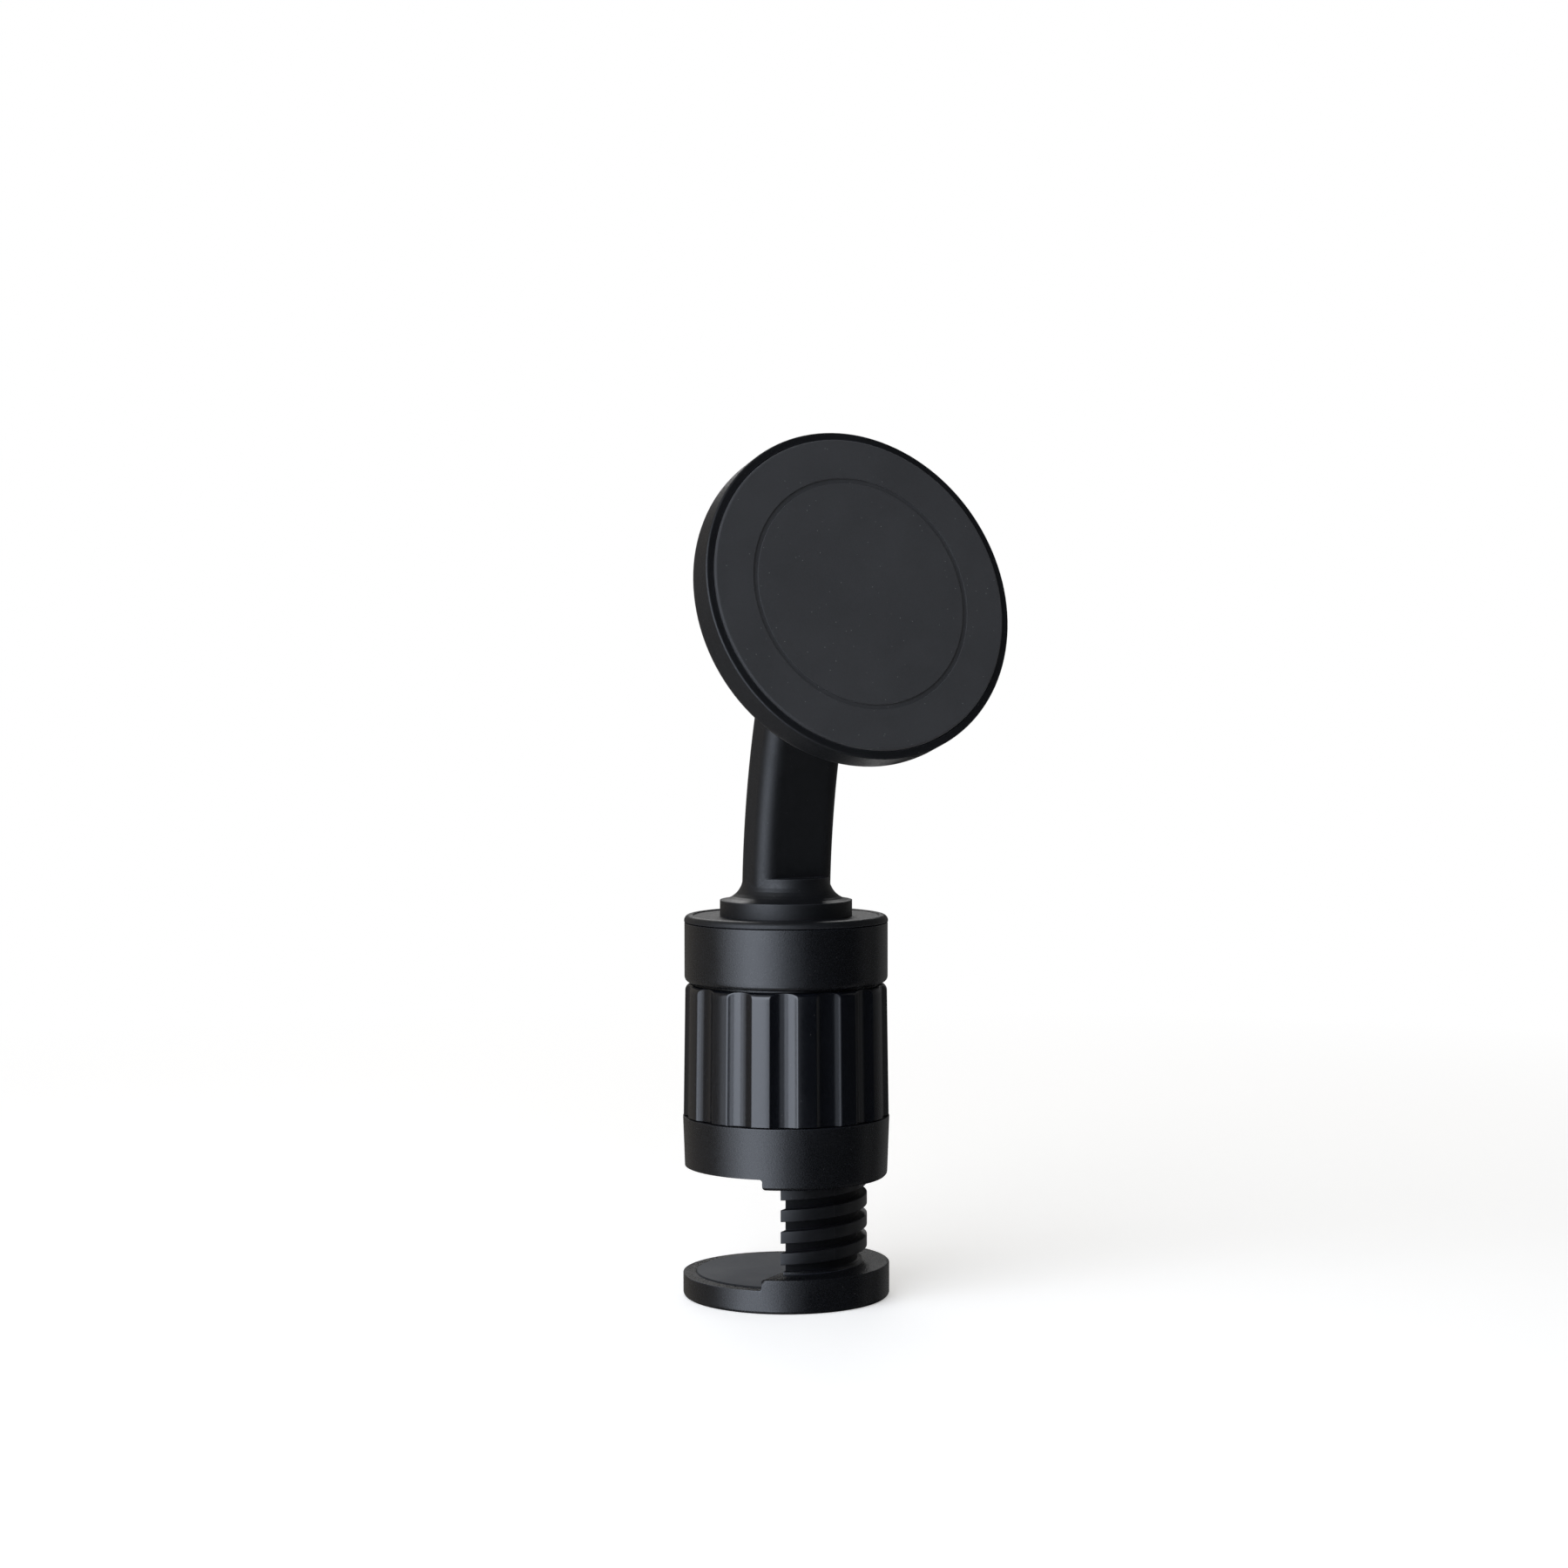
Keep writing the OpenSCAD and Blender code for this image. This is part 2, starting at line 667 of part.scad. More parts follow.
module arm() {
    color([0.15, 0.155, 0.165])
    difference() {
        union() {
            facing() {
                difference() {
                    translate([arm_curve_r, 0, turret_top_z])
                        rotate([-90, 0, 0])
                            rotate([0, 0, 180])
                                rotate_extrude(angle = arm_sweep, $fn = 180)
                                    translate([arm_curve_r, 0])
                                        arm_section(arm_t, arm_w, arm_round);
                    for (side = [-1, 1])
                        translate([pivot_x, side * (tongue_w / 2 + far / 2), pivot_z])
                            rotate([90, 0, 0])
                                cylinder(r = ear_r + knuckle_room, h = far, center = true);
                }
                translate([pivot_x, 0, pivot_z])
                    rotate([90, 0, 0])
                        cylinder(r = ear_r, h = tongue_w, center = true);
            }
            translate([0, 0, turret_top_z])
                rotate_extrude()
                    polygon(concat(
                        [[0, 0], [arm_foot_r, 0], [arm_foot_r, arm_foot_edge]],
                        arc(arm_foot_r, arm_foot_edge + arm_foot_sweep, arm_foot_sweep, -90, -180),
                        [[0, arm_foot_edge + arm_foot_sweep]]
                    ));
        }
        facing()
            translate([pivot_x, 0, pivot_z])
                rotate([90, 0, 0])
                    cylinder(r = bolt_r + run_fit, h = far, center = true);
        arm_screw_places()
            translate([0, 0, arm_screw_z])
                mirror([0, 0, 1])
                    screw_hole(arm_screw_l + 0.4);
    }
}

module arm_screws() {
    color("dimgray")
        arm_screw_places()
            translate([0, 0, arm_screw_z])
                mirror([0, 0, 1])
                    screw(screw_head_h, arm_screw_l);
}

// Runs a shape's +Z along the hinge's pin, from the middle of the tongue
module along_pin(side) {
    at_head()
        rotate([side * 90, 0, 0])
            children();
}

module hinge_bolt() {
    color("dimgray") {
        along_pin(1)
            translate([0, 0, ear_out_y - ear_pocket])
                difference() {
                    cylinder(r = bolt_head_r, h = ear_pocket);
                    translate([0, 0, ear_pocket / 3])
                        cylinder(r = bolt_head_r / 2, h = ear_pocket, $fn = 6);
                }
        along_pin(-1)
            translate([0, 0, -ear_out_y + ear_pocket - 0.05])
                cylinder(r = bolt_r, h = 2 * ear_out_y - ear_pocket - 0.25);
    }
}

module hinge_nut() {
    color("silver")
        along_pin(-1)
            translate([0, 0, ear_out_y - ear_pocket])
                difference() {
                    cylinder(d = nut_across, h = ear_pocket - 0.1, $fn = 6);
                    translate([0, 0, -bite])
                        cylinder(r = bolt_r + screw_fit, h = ear_pocket + 2 * bite);
                }
}

module friction_washers() {
    color("silver")
        for (side = [-1, 1])
            along_pin(side)
                translate([0, 0, tongue_w / 2 + disc_gap])
                    ring(bolt_r + screw_fit, ear_r - 0.4, disc_t);
}

module head_knuckle() {
    color([0.15, 0.155, 0.165])
    difference() {
        union() {
            at_head() {
                translate([0, 0, plate_x])
                    cylinder(r = plate_r, h = plate_t);
                translate([0, 0, plate_x + plate_t - bite])
                    cylinder(r = spindle_r, h = spindle_x - plate_x - plate_t + bite);
            }
            for (side = [-1, 1])
                along_pin(side)
                    translate([0, 0, ear_y])
                        cylinder(r = ear_r, h = ear_t);
            at_head()
                for (side = [-1, 1])
                    translate([-ear_neck_w / 2, side > 0 ? ear_y : -ear_out_y, 0])
                        cube([ear_neck_w, ear_t, plate_x + bite]);
        }
        along_pin(1)
            cylinder(r = bolt_r + screw_fit, h = far, center = true);
        along_pin(1)
            translate([0, 0, ear_out_y - ear_pocket])
                cylinder(r = bolt_head_r + head_fit, h = far);
        along_pin(-1)
            translate([0, 0, ear_out_y - ear_pocket])
                cylinder(d = nut_across + 0.3, h = far, $fn = 6);
        at_head()
            translate([0, 0, spindle_x])
                screw_hole(spindle_x - plate_x + bite);
    }
}

module spindle_washer() {
    color("silver")
        at_head()
            translate([0, 0, spindle_x])
                ring(screw_r + screw_fit, spindle_r + hub_w - 0.4, spindle_washer_t);
}

module spindle_screw() {
    color("dimgray")
        at_head()
            translate([0, 0, spindle_x + spindle_washer_t])
                screw(flat_head_h, short_screw_l);
}

module head_shell() {
    color([0.15, 0.155, 0.165])
        at_head()
            difference() {
                rotate_extrude()
                    polygon(concat(
                        [[spindle_r + run_fit, shell_x]],
                        arc(head_r - shell_round, shell_x + shell_round, shell_round, -90, 0),
                        arc(head_r - rim_round, rim_x - rim_round, rim_round, 0, 90),
                        [[rebate_r, rim_x], [rebate_r, front_x], [wall_in_r, front_x],
                         [wall_in_r, floor_x], [spindle_r + hub_w, floor_x],
                         [spindle_r + hub_w, hub_x], [spindle_r + run_fit, hub_x]]
                    ));
            }
}

module yoke_ring() {
    color("silver")
        at_head()
            translate([0, 0, floor_x])
                ring(magnet_in_r - 1, magnet_out_r, yoke_t);
}

module magnets() {
    half_gap = asin(magnet_gap / 2 / magnet_in_r);
    step = 360 / magnet_count;
    color([0.8, 0.8, 0.82])
        at_head()
            translate([0, 0, floor_x + yoke_t])
                for (i = [0 : magnet_count - 1])
                    rotate([0, 0, i * step + half_gap])
                        rotate_extrude(angle = step - 2 * half_gap)
                            translate([magnet_in_r, 0])
                                square([magnet_w, magnet_t]);
}

module front_plate() {
    color([0.15, 0.155, 0.165])
        at_head()
            translate([0, 0, front_x])
                cylinder(r = rebate_r - nest_fit, h = front_t);
}

module face_pad() {
    pad_out_r = rebate_r - nest_fit;
    color([0.2, 0.2, 0.205])
        at_head()
            rotate_extrude()
                polygon(concat(
                    [[0, face_x], [pad_out_r, face_x]],
                    arc(pad_out_r - face_round, head_depth - face_round, face_round, 0, 90),
                    [[magnet_in_r, head_depth], [magnet_in_r, head_depth - face_groove_d],
                     [magnet_in_r - face_groove_w, head_depth - face_groove_d],
                     [magnet_in_r - face_groove_w, head_depth], [0, head_depth]]
                ));
}

upper_jaw();
upper_jaw_pad();
screw_jaw();
lower_jaw_pad();
clamp_collar();
slip_washer();
cap();
cap_screws();
turret();
swivel_washer();
swivel_screw();
arm();
arm_screws();
hinge_bolt();
hinge_nut();
friction_washers();
head_knuckle();
spindle_washer();
spindle_screw();
head_shell();
yoke_ring();
magnets();
front_plate();
face_pad();
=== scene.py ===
import json
import math

import bmesh
import bpy
from bpy.props import FloatProperty, FloatVectorProperty, IntProperty, PointerProperty
from mathutils import Matrix, Vector


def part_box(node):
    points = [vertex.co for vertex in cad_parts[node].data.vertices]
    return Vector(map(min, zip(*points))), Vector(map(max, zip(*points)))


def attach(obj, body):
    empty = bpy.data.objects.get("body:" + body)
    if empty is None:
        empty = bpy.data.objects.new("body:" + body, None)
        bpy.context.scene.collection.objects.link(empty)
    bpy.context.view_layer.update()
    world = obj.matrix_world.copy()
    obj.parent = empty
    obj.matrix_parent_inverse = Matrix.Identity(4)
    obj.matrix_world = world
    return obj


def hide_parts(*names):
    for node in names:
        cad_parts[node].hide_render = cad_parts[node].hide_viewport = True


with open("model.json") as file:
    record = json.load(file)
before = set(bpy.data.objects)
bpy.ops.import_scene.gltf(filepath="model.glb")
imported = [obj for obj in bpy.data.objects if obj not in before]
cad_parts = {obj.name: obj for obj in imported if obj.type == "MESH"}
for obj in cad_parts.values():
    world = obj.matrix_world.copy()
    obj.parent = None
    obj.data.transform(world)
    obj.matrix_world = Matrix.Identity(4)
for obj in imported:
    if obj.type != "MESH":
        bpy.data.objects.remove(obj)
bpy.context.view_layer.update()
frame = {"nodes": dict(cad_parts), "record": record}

bl_info = {
    "name": "Phone Holder Finish",
    "version": (1, 0, 0),
    "blender": (4, 5, 0),
    "location": "3D View > Sidebar > Holder",
    "description": "Dresses the clamp, arm and magnet head of a phone holder",
    "category": "Object",
}

MM = 0.001
NODES = frame["nodes"]
COLLAR_LOW, COLLAR_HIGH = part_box("clamp_collar")
JAW_LOW, JAW_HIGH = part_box("screw_jaw")
# The lip of the lower jaw stands this much over its grip pad
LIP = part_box("lower_jaw_pad")[1].z + 1.65 * MM
# The CAD jaw is kept up to just over its lip, and the new core starts inside it
JAW_CUT, CORE_START = LIP + 0.55 * MM, LIP + 0.2 * MM
# Play between the collar's thread and the post's
THREAD_FIT = 0.25 * MM
# Rounding of the crest of the collar's thread, and its number of steps
THREAD_ROUND, THREAD_STEPS = 0.15 * MM, 420
# Gap between the band that carries the collar's thread and the pieces over and under it
END_GAP = 0.1 * MM
# Depth to which a ridge reaches into the wall that carries it
BITE = 0.4 * MM
# Direction about Z of the mould's seam on the post
SEAM_ANGLE = math.radians(-118)
WELD = 1e-7
WHITE = (1.0, 1.0, 1.0)


# Settings

def length(name, text, value, **more):
    return FloatProperty(name=name, description=text, default=value, min=0.0, unit="LENGTH",
                         precision=5, **more)


def colour(name, text, value):
    return FloatVectorProperty(name=name, description=text, default=value, size=3,
                               min=0.0, max=1.0, subtype="COLOR")


def power(name, text, value):
    return FloatProperty(name=name, description=text, default=value, min=0.0, unit="POWER")


class CollarSizes(bpy.types.PropertyGroup):
    radius: length("Radius", "Radius of the collar at its lower edge", COLLAR_HIGH.x)
    bottom: FloatProperty(name="Bottom", description="Height of the collar's lower edge",
                          default=COLLAR_LOW.z, unit="LENGTH", precision=5)
    height: length("Height", "Height of the collar", COLLAR_HIGH.z - COLLAR_LOW.z)
    draft: length("Draft", "How much smaller the collar is at its top", 0.33 * MM)
    bore: length("Bore", "Radius of the wide bores at the collar's ends", 15.9 * MM)
    thread_bore: length("Thread bore", "Radius of the bore that carries the thread", 14.35 * MM)
    thread_turns: FloatProperty(name="Thread turns", description="Turns of the inner thread",
                                default=3.7, min=0.5)
    top_round: length("Top rounding", "Rounding of the top edge", 1.1 * MM)
    edge_round: length("Edge rounding", "Rounding of the lower edge", 0.12 * MM)
    flutes: IntProperty(name="Flutes", description="Number of flutes", default=14, min=3)
    flute_width: length("Flute width", "Width of one flute across its edges", 5.15 * MM)
    flute_depth: length("Flute depth", "Depth of one flute", 0.83 * MM)
    flute_edge: length("Flute edge", "Rounding of the edges between flutes and lands", 0.05 * MM)
    first_angle: FloatProperty(name="First flute", description="Direction of the first flute",
                               default=math.radians(-154.8), subtype="ANGLE")


class PostSizes(bpy.types.PropertyGroup):
    crest: length("Crest radius", "Radius over the ridges", 14.1 * MM)
    core: length("Core radius", "Radius between the ridges", 12.4 * MM)
    flat: length("Flat", "Distance from the axis to the flat side", 5.4 * MM)
    pitch: length("Pitch", "Rise of the thread in one turn", 3.7 * MM)
    ridge: length("Ridge height", "Height of one ridge at its crest", 2.05 * MM)
    ridge_round: length("Ridge rounding", "Rounding of the ridges' crests", 0.12 * MM)
    first: length("First ridge", "Height of the lowest ridge above the jaw's lip", 3.5 * MM)
    ridges: IntProperty(name="Ridges", description="Number of ridges", default=10, min=1)


class Finishes(bpy.types.PropertyGroup):
    jaw: colour("Jaws and cap", "Near-black moulded plastic", (0.0031, 0.0034, 0.0043))
    collar: colour("Collar", "Smoother near-black plastic", (0.0028, 0.0033, 0.0048))
    arm: colour("Arm and head", "Near-black plastic", (0.0050, 0.0053, 0.0061))
    rubber: colour("Grip pads", "Rubber of the grip pads", (0.012, 0.012, 0.0125))
    silicone: colour("Face pad", "Silicone of the face pad", (0.027, 0.027, 0.028))
    slip: colour("Slip washer", "Natural plastic", (0.68, 0.67, 0.6))
    black_steel: colour("Screws", "Black oxide steel", (0.05, 0.05, 0.055))
    zinc: colour("Washers", "Zinc plated steel", (0.55, 0.56, 0.58))
    nickel: colour("Magnets", "Nickel plating", (0.62, 0.6, 0.56))


class StageSizes(bpy.types.PropertyGroup):
    floor: colour("Floor", "Colour of the floor", (0.9, 0.87, 0.82))
    floor_lift: FloatProperty(name="Floor lift", description="White added to the floor's look",
                              default=0.4, min=0.0, max=1.0)
    lamp_colour: colour("Lamp colour", "Cool tone of the tall lamps", (0.8, 0.87, 1.0))
    left_colour: colour("Left colour", "Warm tone that reflections show at the left",
                        (1.0, 0.92, 0.82))
    key_power: power("Key light", "Power of the wide tall lamp", 3.9)
    side_power: power("Side light", "Power of the tall lamp left of the key", 0.75)
    far_side_power: power("Far side light", "Power of the tall lamp at the left edge", 0.36)
    front_power: power("Front light", "Power of the tall lamp left of the camera", 0.9)
    near_power: power("Near light", "Power of the tall lamp at the camera", 0.34)
    top_power: power("Top light", "Power of the light overhead", 0.4)
    fill_power: power("Fill light", "Power of the light at the right", 0.07)
    back_power: power("Back light", "Power of the light behind", 1.3)


class HolderSettings(bpy.types.PropertyGroup):
    collar: PointerProperty(type=CollarSizes)
    post: PointerProperty(type=PostSizes)
    finishes: PointerProperty(type=Finishes)
    stage: PointerProperty(type=StageSizes)


# Node trees and materials

class Tree:
    """Adds nodes to a tree and links their sockets."""

    def __init__(self, tree):
        self.tree = tree

    def add(self, kind, inputs=(), **settings):
        node = self.tree.nodes.new(kind)
        for name, value in settings.items():
            setattr(node, name, value)
        for name, value in dict(inputs).items():
            self.feed(node.inputs[name], value)
        return node

    def feed(self, socket, value):
        if isinstance(value, bpy.types.NodeSocket):
            self.tree.links.new(value, socket)
        else:
            socket.default_value = value

    def math(self, operation, *values):
        node = self.add("ShaderNodeMath", operation=operation)
        for socket, value in zip(node.inputs, values):
            self.feed(socket, value)
        return node.outputs[0]

    def combine(self, x, y, z):
        return self.add("ShaderNodeCombineXYZ", {"X": x, "Y": y, "Z": z}).outputs[0]

    def ramp(self, value, low, high, to_low=0.0, to_high=1.0):
        return self.add("ShaderNodeMapRange", {"Value": value, "From Min": low, "From Max": high,
                                               "To Min": to_low, "To Max": to_high}).outputs[0]

    def blend(self, factor, a, b):
        node = self.add("ShaderNodeMix", data_type="RGBA")
        for index, value in ((0, factor), (6, a), (7, b)):
            self.feed(node.inputs[index], value)
        return node.outputs[2]


def new_group(name, kind, inputs, outputs):
    """A node group with the named sockets; returns it with its input's and output's nodes."""
    group = bpy.data.node_groups.new(name, kind)
    for label, (sort, value) in inputs.items():
        socket = group.interface.new_socket(label, in_out="INPUT", socket_type=sort)
        if value is not None:
            socket.default_value = value
    for label, sort in outputs.items():
        group.interface.new_socket(label, in_out="OUTPUT", socket_type=sort)
    tree = Tree(group)
    return group, tree, tree.add("NodeGroupInput").outputs, tree.add("NodeGroupOutput").inputs


FLOAT, INT, GEOMETRY = "NodeSocketFloat", "NodeSocketInt", "NodeSocketGeometry"
VECTOR, MATERIAL = "NodeSocketVector", "NodeSocketMaterial"
BEVEL_SAMPLES = 6


def grain_group():
    """Spark-eroded grain over softly rounded edges: gives a normal and the grain's height."""
    group, tree, given, out = new_group(
        "Moulded grain", "ShaderNodeTree",
        {"Grain size": (FLOAT, 0.3 * MM), "Depth": (FLOAT, 0.01 * MM), "Edge": (FLOAT, 0.15 * MM)},
        {"Normal": VECTOR, "Grain": FLOAT})
    place = tree.add("ShaderNodeTexCoord").outputs["Object"]
    scale = tree.math("DIVIDE", 1.0, given["Grain size"])
    grain = tree.add("ShaderNodeTexNoise", {"Vector": place, "Scale": scale, "Detail": 3.0,
                                            "Roughness": 0.62}).outputs["Fac"]
    edge = tree.add("ShaderNodeBevel", {"Radius": given["Edge"]},
                    samples=BEVEL_SAMPLES).outputs[0]
    bump = tree.add("ShaderNodeBump", {"Strength": 1.0, "Distance": given["Depth"],
                                       "Height": grain, "Normal": edge})
    tree.feed(out["Normal"], bump.outputs[0])
    tree.feed(out["Grain"], grain)
    return group


def edge_group():
    """Mask of the outer edges, where handling has rubbed the surface lighter and where a painted
    highlight stands for the light they catch.
    """
    group, tree, given, out = new_group(
        "Edge wear and highlight", "ShaderNodeTree",
        {"Width": (FLOAT, 0.25 * MM), "Patch size": (FLOAT, 4 * MM)}, {"Edge": FLOAT})
    normal = tree.add("ShaderNodeNewGeometry").outputs["Normal"]
    soft = tree.add("ShaderNodeBevel", {"Radius": given["Width"]},
                    samples=BEVEL_SAMPLES).outputs[0]
    alike = tree.add("ShaderNodeVectorMath", {0: normal, 1: soft}, operation="DOT_PRODUCT")
    flat_side, rounded_edge = 0.995, 0.8
    turned = tree.ramp(alike.outputs["Value"], flat_side, rounded_edge)
    place = tree.add("ShaderNodeTexCoord").outputs["Object"]
    patch = tree.add("ShaderNodeTexNoise", {
        "Vector": place, "Scale": tree.math("DIVIDE", 1.0, given["Patch size"]), "Detail": 4.0})
    tree.feed(out["Edge"], tree.math("MULTIPLY", turned,
                                     tree.ramp(patch.outputs["Fac"], 0.3, 0.7, 0.35, 1.0)))
    return group


def handling_group():
    """Broad uneven patches from handling, and sparse specks of dust."""
    group, tree, given, out = new_group(
        "Handling", "ShaderNodeTree",
        {"Patch size": (FLOAT, 12 * MM), "Speck spacing": (FLOAT, 1.6 * MM),
         "Speck size": (FLOAT, 0.05)},
        {"Patches": FLOAT, "Specks": FLOAT})
    place = tree.add("ShaderNodeTexCoord").outputs["Object"]
    patch = tree.add("ShaderNodeTexNoise", {
        "Vector": place, "Scale": tree.math("DIVIDE", 1.0, given["Patch size"]),
        "Detail": 5.0, "Roughness": 0.55, "Distortion": 0.4})
    cells = tree.add("ShaderNodeTexVoronoi", {
        "Vector": place, "Scale": tree.math("DIVIDE", 1.0, given["Speck spacing"])})
    tree.feed(out["Patches"], tree.ramp(patch.outputs["Fac"], 0.3, 0.7))
    tree.feed(out["Specks"], tree.math("LESS_THAN", cells.outputs["Distance"],
                                       given["Speck size"]))
    return group


def seam_group():
    """Fine upright line that a mould leaves on a round side, at one direction about Z."""
    group, tree, given, out = new_group(
        "Mould seam", "ShaderNodeTree",
        {"Angle": (FLOAT, 0.0), "Width": (FLOAT, 0.1 * MM), "Depth": (FLOAT, 0.03 * MM),
         "Normal": (VECTOR, None)},
        {"Normal": VECTOR, "Line": FLOAT})
    place = tree.add("ShaderNodeTexCoord").outputs["Object"]
    spot = tree.add("ShaderNodeSeparateXYZ", {"Vector": place}).outputs
    cosine, sine = tree.math("COSINE", given["Angle"]), tree.math("SINE", given["Angle"])
    across = tree.math("SUBTRACT", tree.math("MULTIPLY", spot["Y"], cosine),
                       tree.math("MULTIPLY", spot["X"], sine))
    along = tree.math("ADD", tree.math("MULTIPLY", spot["X"], cosine),
                      tree.math("MULTIPLY", spot["Y"], sine))
    line = tree.math("MULTIPLY",
                     tree.ramp(tree.math("ABSOLUTE", across), given["Width"], 0.0),
                     tree.math("GREATER_THAN", along, 0.0))
    bump = tree.add("ShaderNodeBump", {"Strength": 1.0, "Distance": given["Depth"],
                                       "Height": line, "Normal": given["Normal"]})
    tree.feed(out["Normal"], bump.outputs[0])
    tree.feed(out["Line"], line)
    return group


EFFECTS = {}


def effect(tree, name, inputs=()):
    """Places one of the shared effects in a material."""
    makers = {"grain": grain_group, "edges": edge_group, "handling": handling_group,
              "seam": seam_group}
    if name not in EFFECTS:
        EFFECTS[name] = makers[name]()
    node = tree.add("ShaderNodeGroup", node_tree=EFFECTS[name])
    for label, value in dict(inputs).items():
        tree.feed(node.inputs[label], value)
    return node.outputs


def opaque(rgb, factor=1.0):
    """A colour for a shader's socket, darker or lighter by the factor."""
    return (*(min(1.0, c * factor) for c in rgb), 1.0)


DUST, LINT = opaque((0.35, 0.35, 0.34)), opaque((0.4, 0.4, 0.39))


def new_material(name):
    """A material with its tree and its plain shader."""
    material = bpy.data.materials.new(name)
    material.use_nodes = True
    tree = Tree(material.node_tree)
    return material, tree, material.node_tree.nodes["Principled BSDF"]


def moulded(name, rgb, roughness, spread, grain, depth, edge=0.15 * MM, level=0.5, edge_wear_and_highlight_gain=9.0,
            seam=None):
    """Moulded plastic: grain, edges lightened by wear and by a painted highlight, uneven gloss and
    a little dust.
    """
    material, tree, shader = new_material(name)
    shader.inputs["Specular IOR Level"].default_value = level
    skin = effect(tree, "grain", {"Grain size": grain, "Depth": depth, "Edge": edge})
    edge_wear_and_highlight = effect(tree, "edges", {"Width": 1.6 * edge})["Edge"]
    marks = effect(tree, "handling")
    pit, peak = 0.35, 0.65
    body = tree.blend(tree.ramp(skin["Grain"], pit, peak), opaque(rgb, 0.88), opaque(rgb, 1.1))
    body = tree.blend(tree.math("MULTIPLY", marks["Patches"], 0.25), body, opaque(rgb, 1.25))
    # Lighter edges: partly rubbed wear, partly a painted highlight of the light that the rounded
    # edges catch
    body = tree.blend(tree.math("MULTIPLY", edge_wear_and_highlight, 0.7), body, opaque(rgb, edge_wear_and_highlight_gain))
    body = tree.blend(tree.math("MULTIPLY", marks["Specks"], 0.1), body, DUST)
    normal = skin["Normal"]
    if seam is not None:
        line = effect(tree, "seam", {"Angle": seam, "Normal": normal})
        normal = line["Normal"]
        # The seam is also painted lighter: a painted highlight along the raised line
        body = tree.blend(tree.math("MULTIPLY", line["Line"], 0.25), body, opaque(rgb, 1.8))
    rough = tree.ramp(marks["Patches"], 0.0, 1.0, roughness - spread, roughness + spread)
    rough = tree.math("SUBTRACT", rough, tree.math("MULTIPLY", edge_wear_and_highlight, 0.12))
    # The grain shows mostly as a speckle in the gloss
    speckle = 0.14 * roughness
    rough = tree.math("ADD", rough, tree.ramp(skin["Grain"], pit, peak, speckle, -speckle))
    tree.feed(shader.inputs["Base Color"], body)
    tree.feed(shader.inputs["Roughness"], rough)
    tree.feed(shader.inputs["Normal"], normal)
    return material


def soft_rubber(name, rgb, grain, depth):
    """Rubber or silicone: dull, with fine pores and caught dust."""
    material, tree, shader = new_material(name)
    shader.inputs["Specular IOR Level"].default_value = 0.3
    shader.inputs["Sheen Weight"].default_value = 0.12
    skin = effect(tree, "grain", {"Grain size": grain, "Depth": depth, "Edge": 0.12 * MM})
    marks = effect(tree, "handling", {"Patch size": 9 * MM, "Speck spacing": 1.3 * MM,
                                      "Speck size": 0.06})
    body = tree.blend(skin["Grain"], opaque(rgb, 0.8), opaque(rgb, 1.2))
    body = tree.blend(tree.math("MULTIPLY", marks["Patches"], 0.3), body, opaque(rgb, 1.4))
    body = tree.blend(tree.math("MULTIPLY", marks["Specks"], 0.22), body, LINT)
    tree.feed(shader.inputs["Base Color"], body)
    tree.feed(shader.inputs["Roughness"], tree.ramp(marks["Patches"], 0.0, 1.0, 0.62, 0.78))
    tree.feed(shader.inputs["Normal"], skin["Normal"])
    return material


def plated(name, rgb, roughness, metallic=1.0):
    """Plated or blackened steel with a fine grain and dull handling marks."""
    material, tree, shader = new_material(name)
    shader.inputs["Metallic"].default_value = metallic
    skin = effect(tree, "grain", {"Grain size": 0.12 * MM, "Depth": 0.002 * MM,
                                  "Edge": 0.08 * MM})
    marks = effect(tree, "handling", {"Patch size": 3 * MM})
    edge_wear_and_highlight = effect(tree, "edges", {"Width": 0.15 * MM})["Edge"]
    body = tree.blend(marks["Patches"], opaque(rgb, 0.85), opaque(rgb))
    # Lighter edges: partly wear, partly a painted highlight
    body = tree.blend(tree.math("MULTIPLY", edge_wear_and_highlight, 0.5), body, opaque(rgb, 1.5))
    tree.feed(shader.inputs["Base Color"], body)
    tree.feed(shader.inputs["Roughness"],
              tree.ramp(marks["Patches"], 0.0, 1.0, roughness - 0.06, roughness + 0.08))
    tree.feed(shader.inputs["Normal"], skin["Normal"])
    return material


MATERIALS = {}


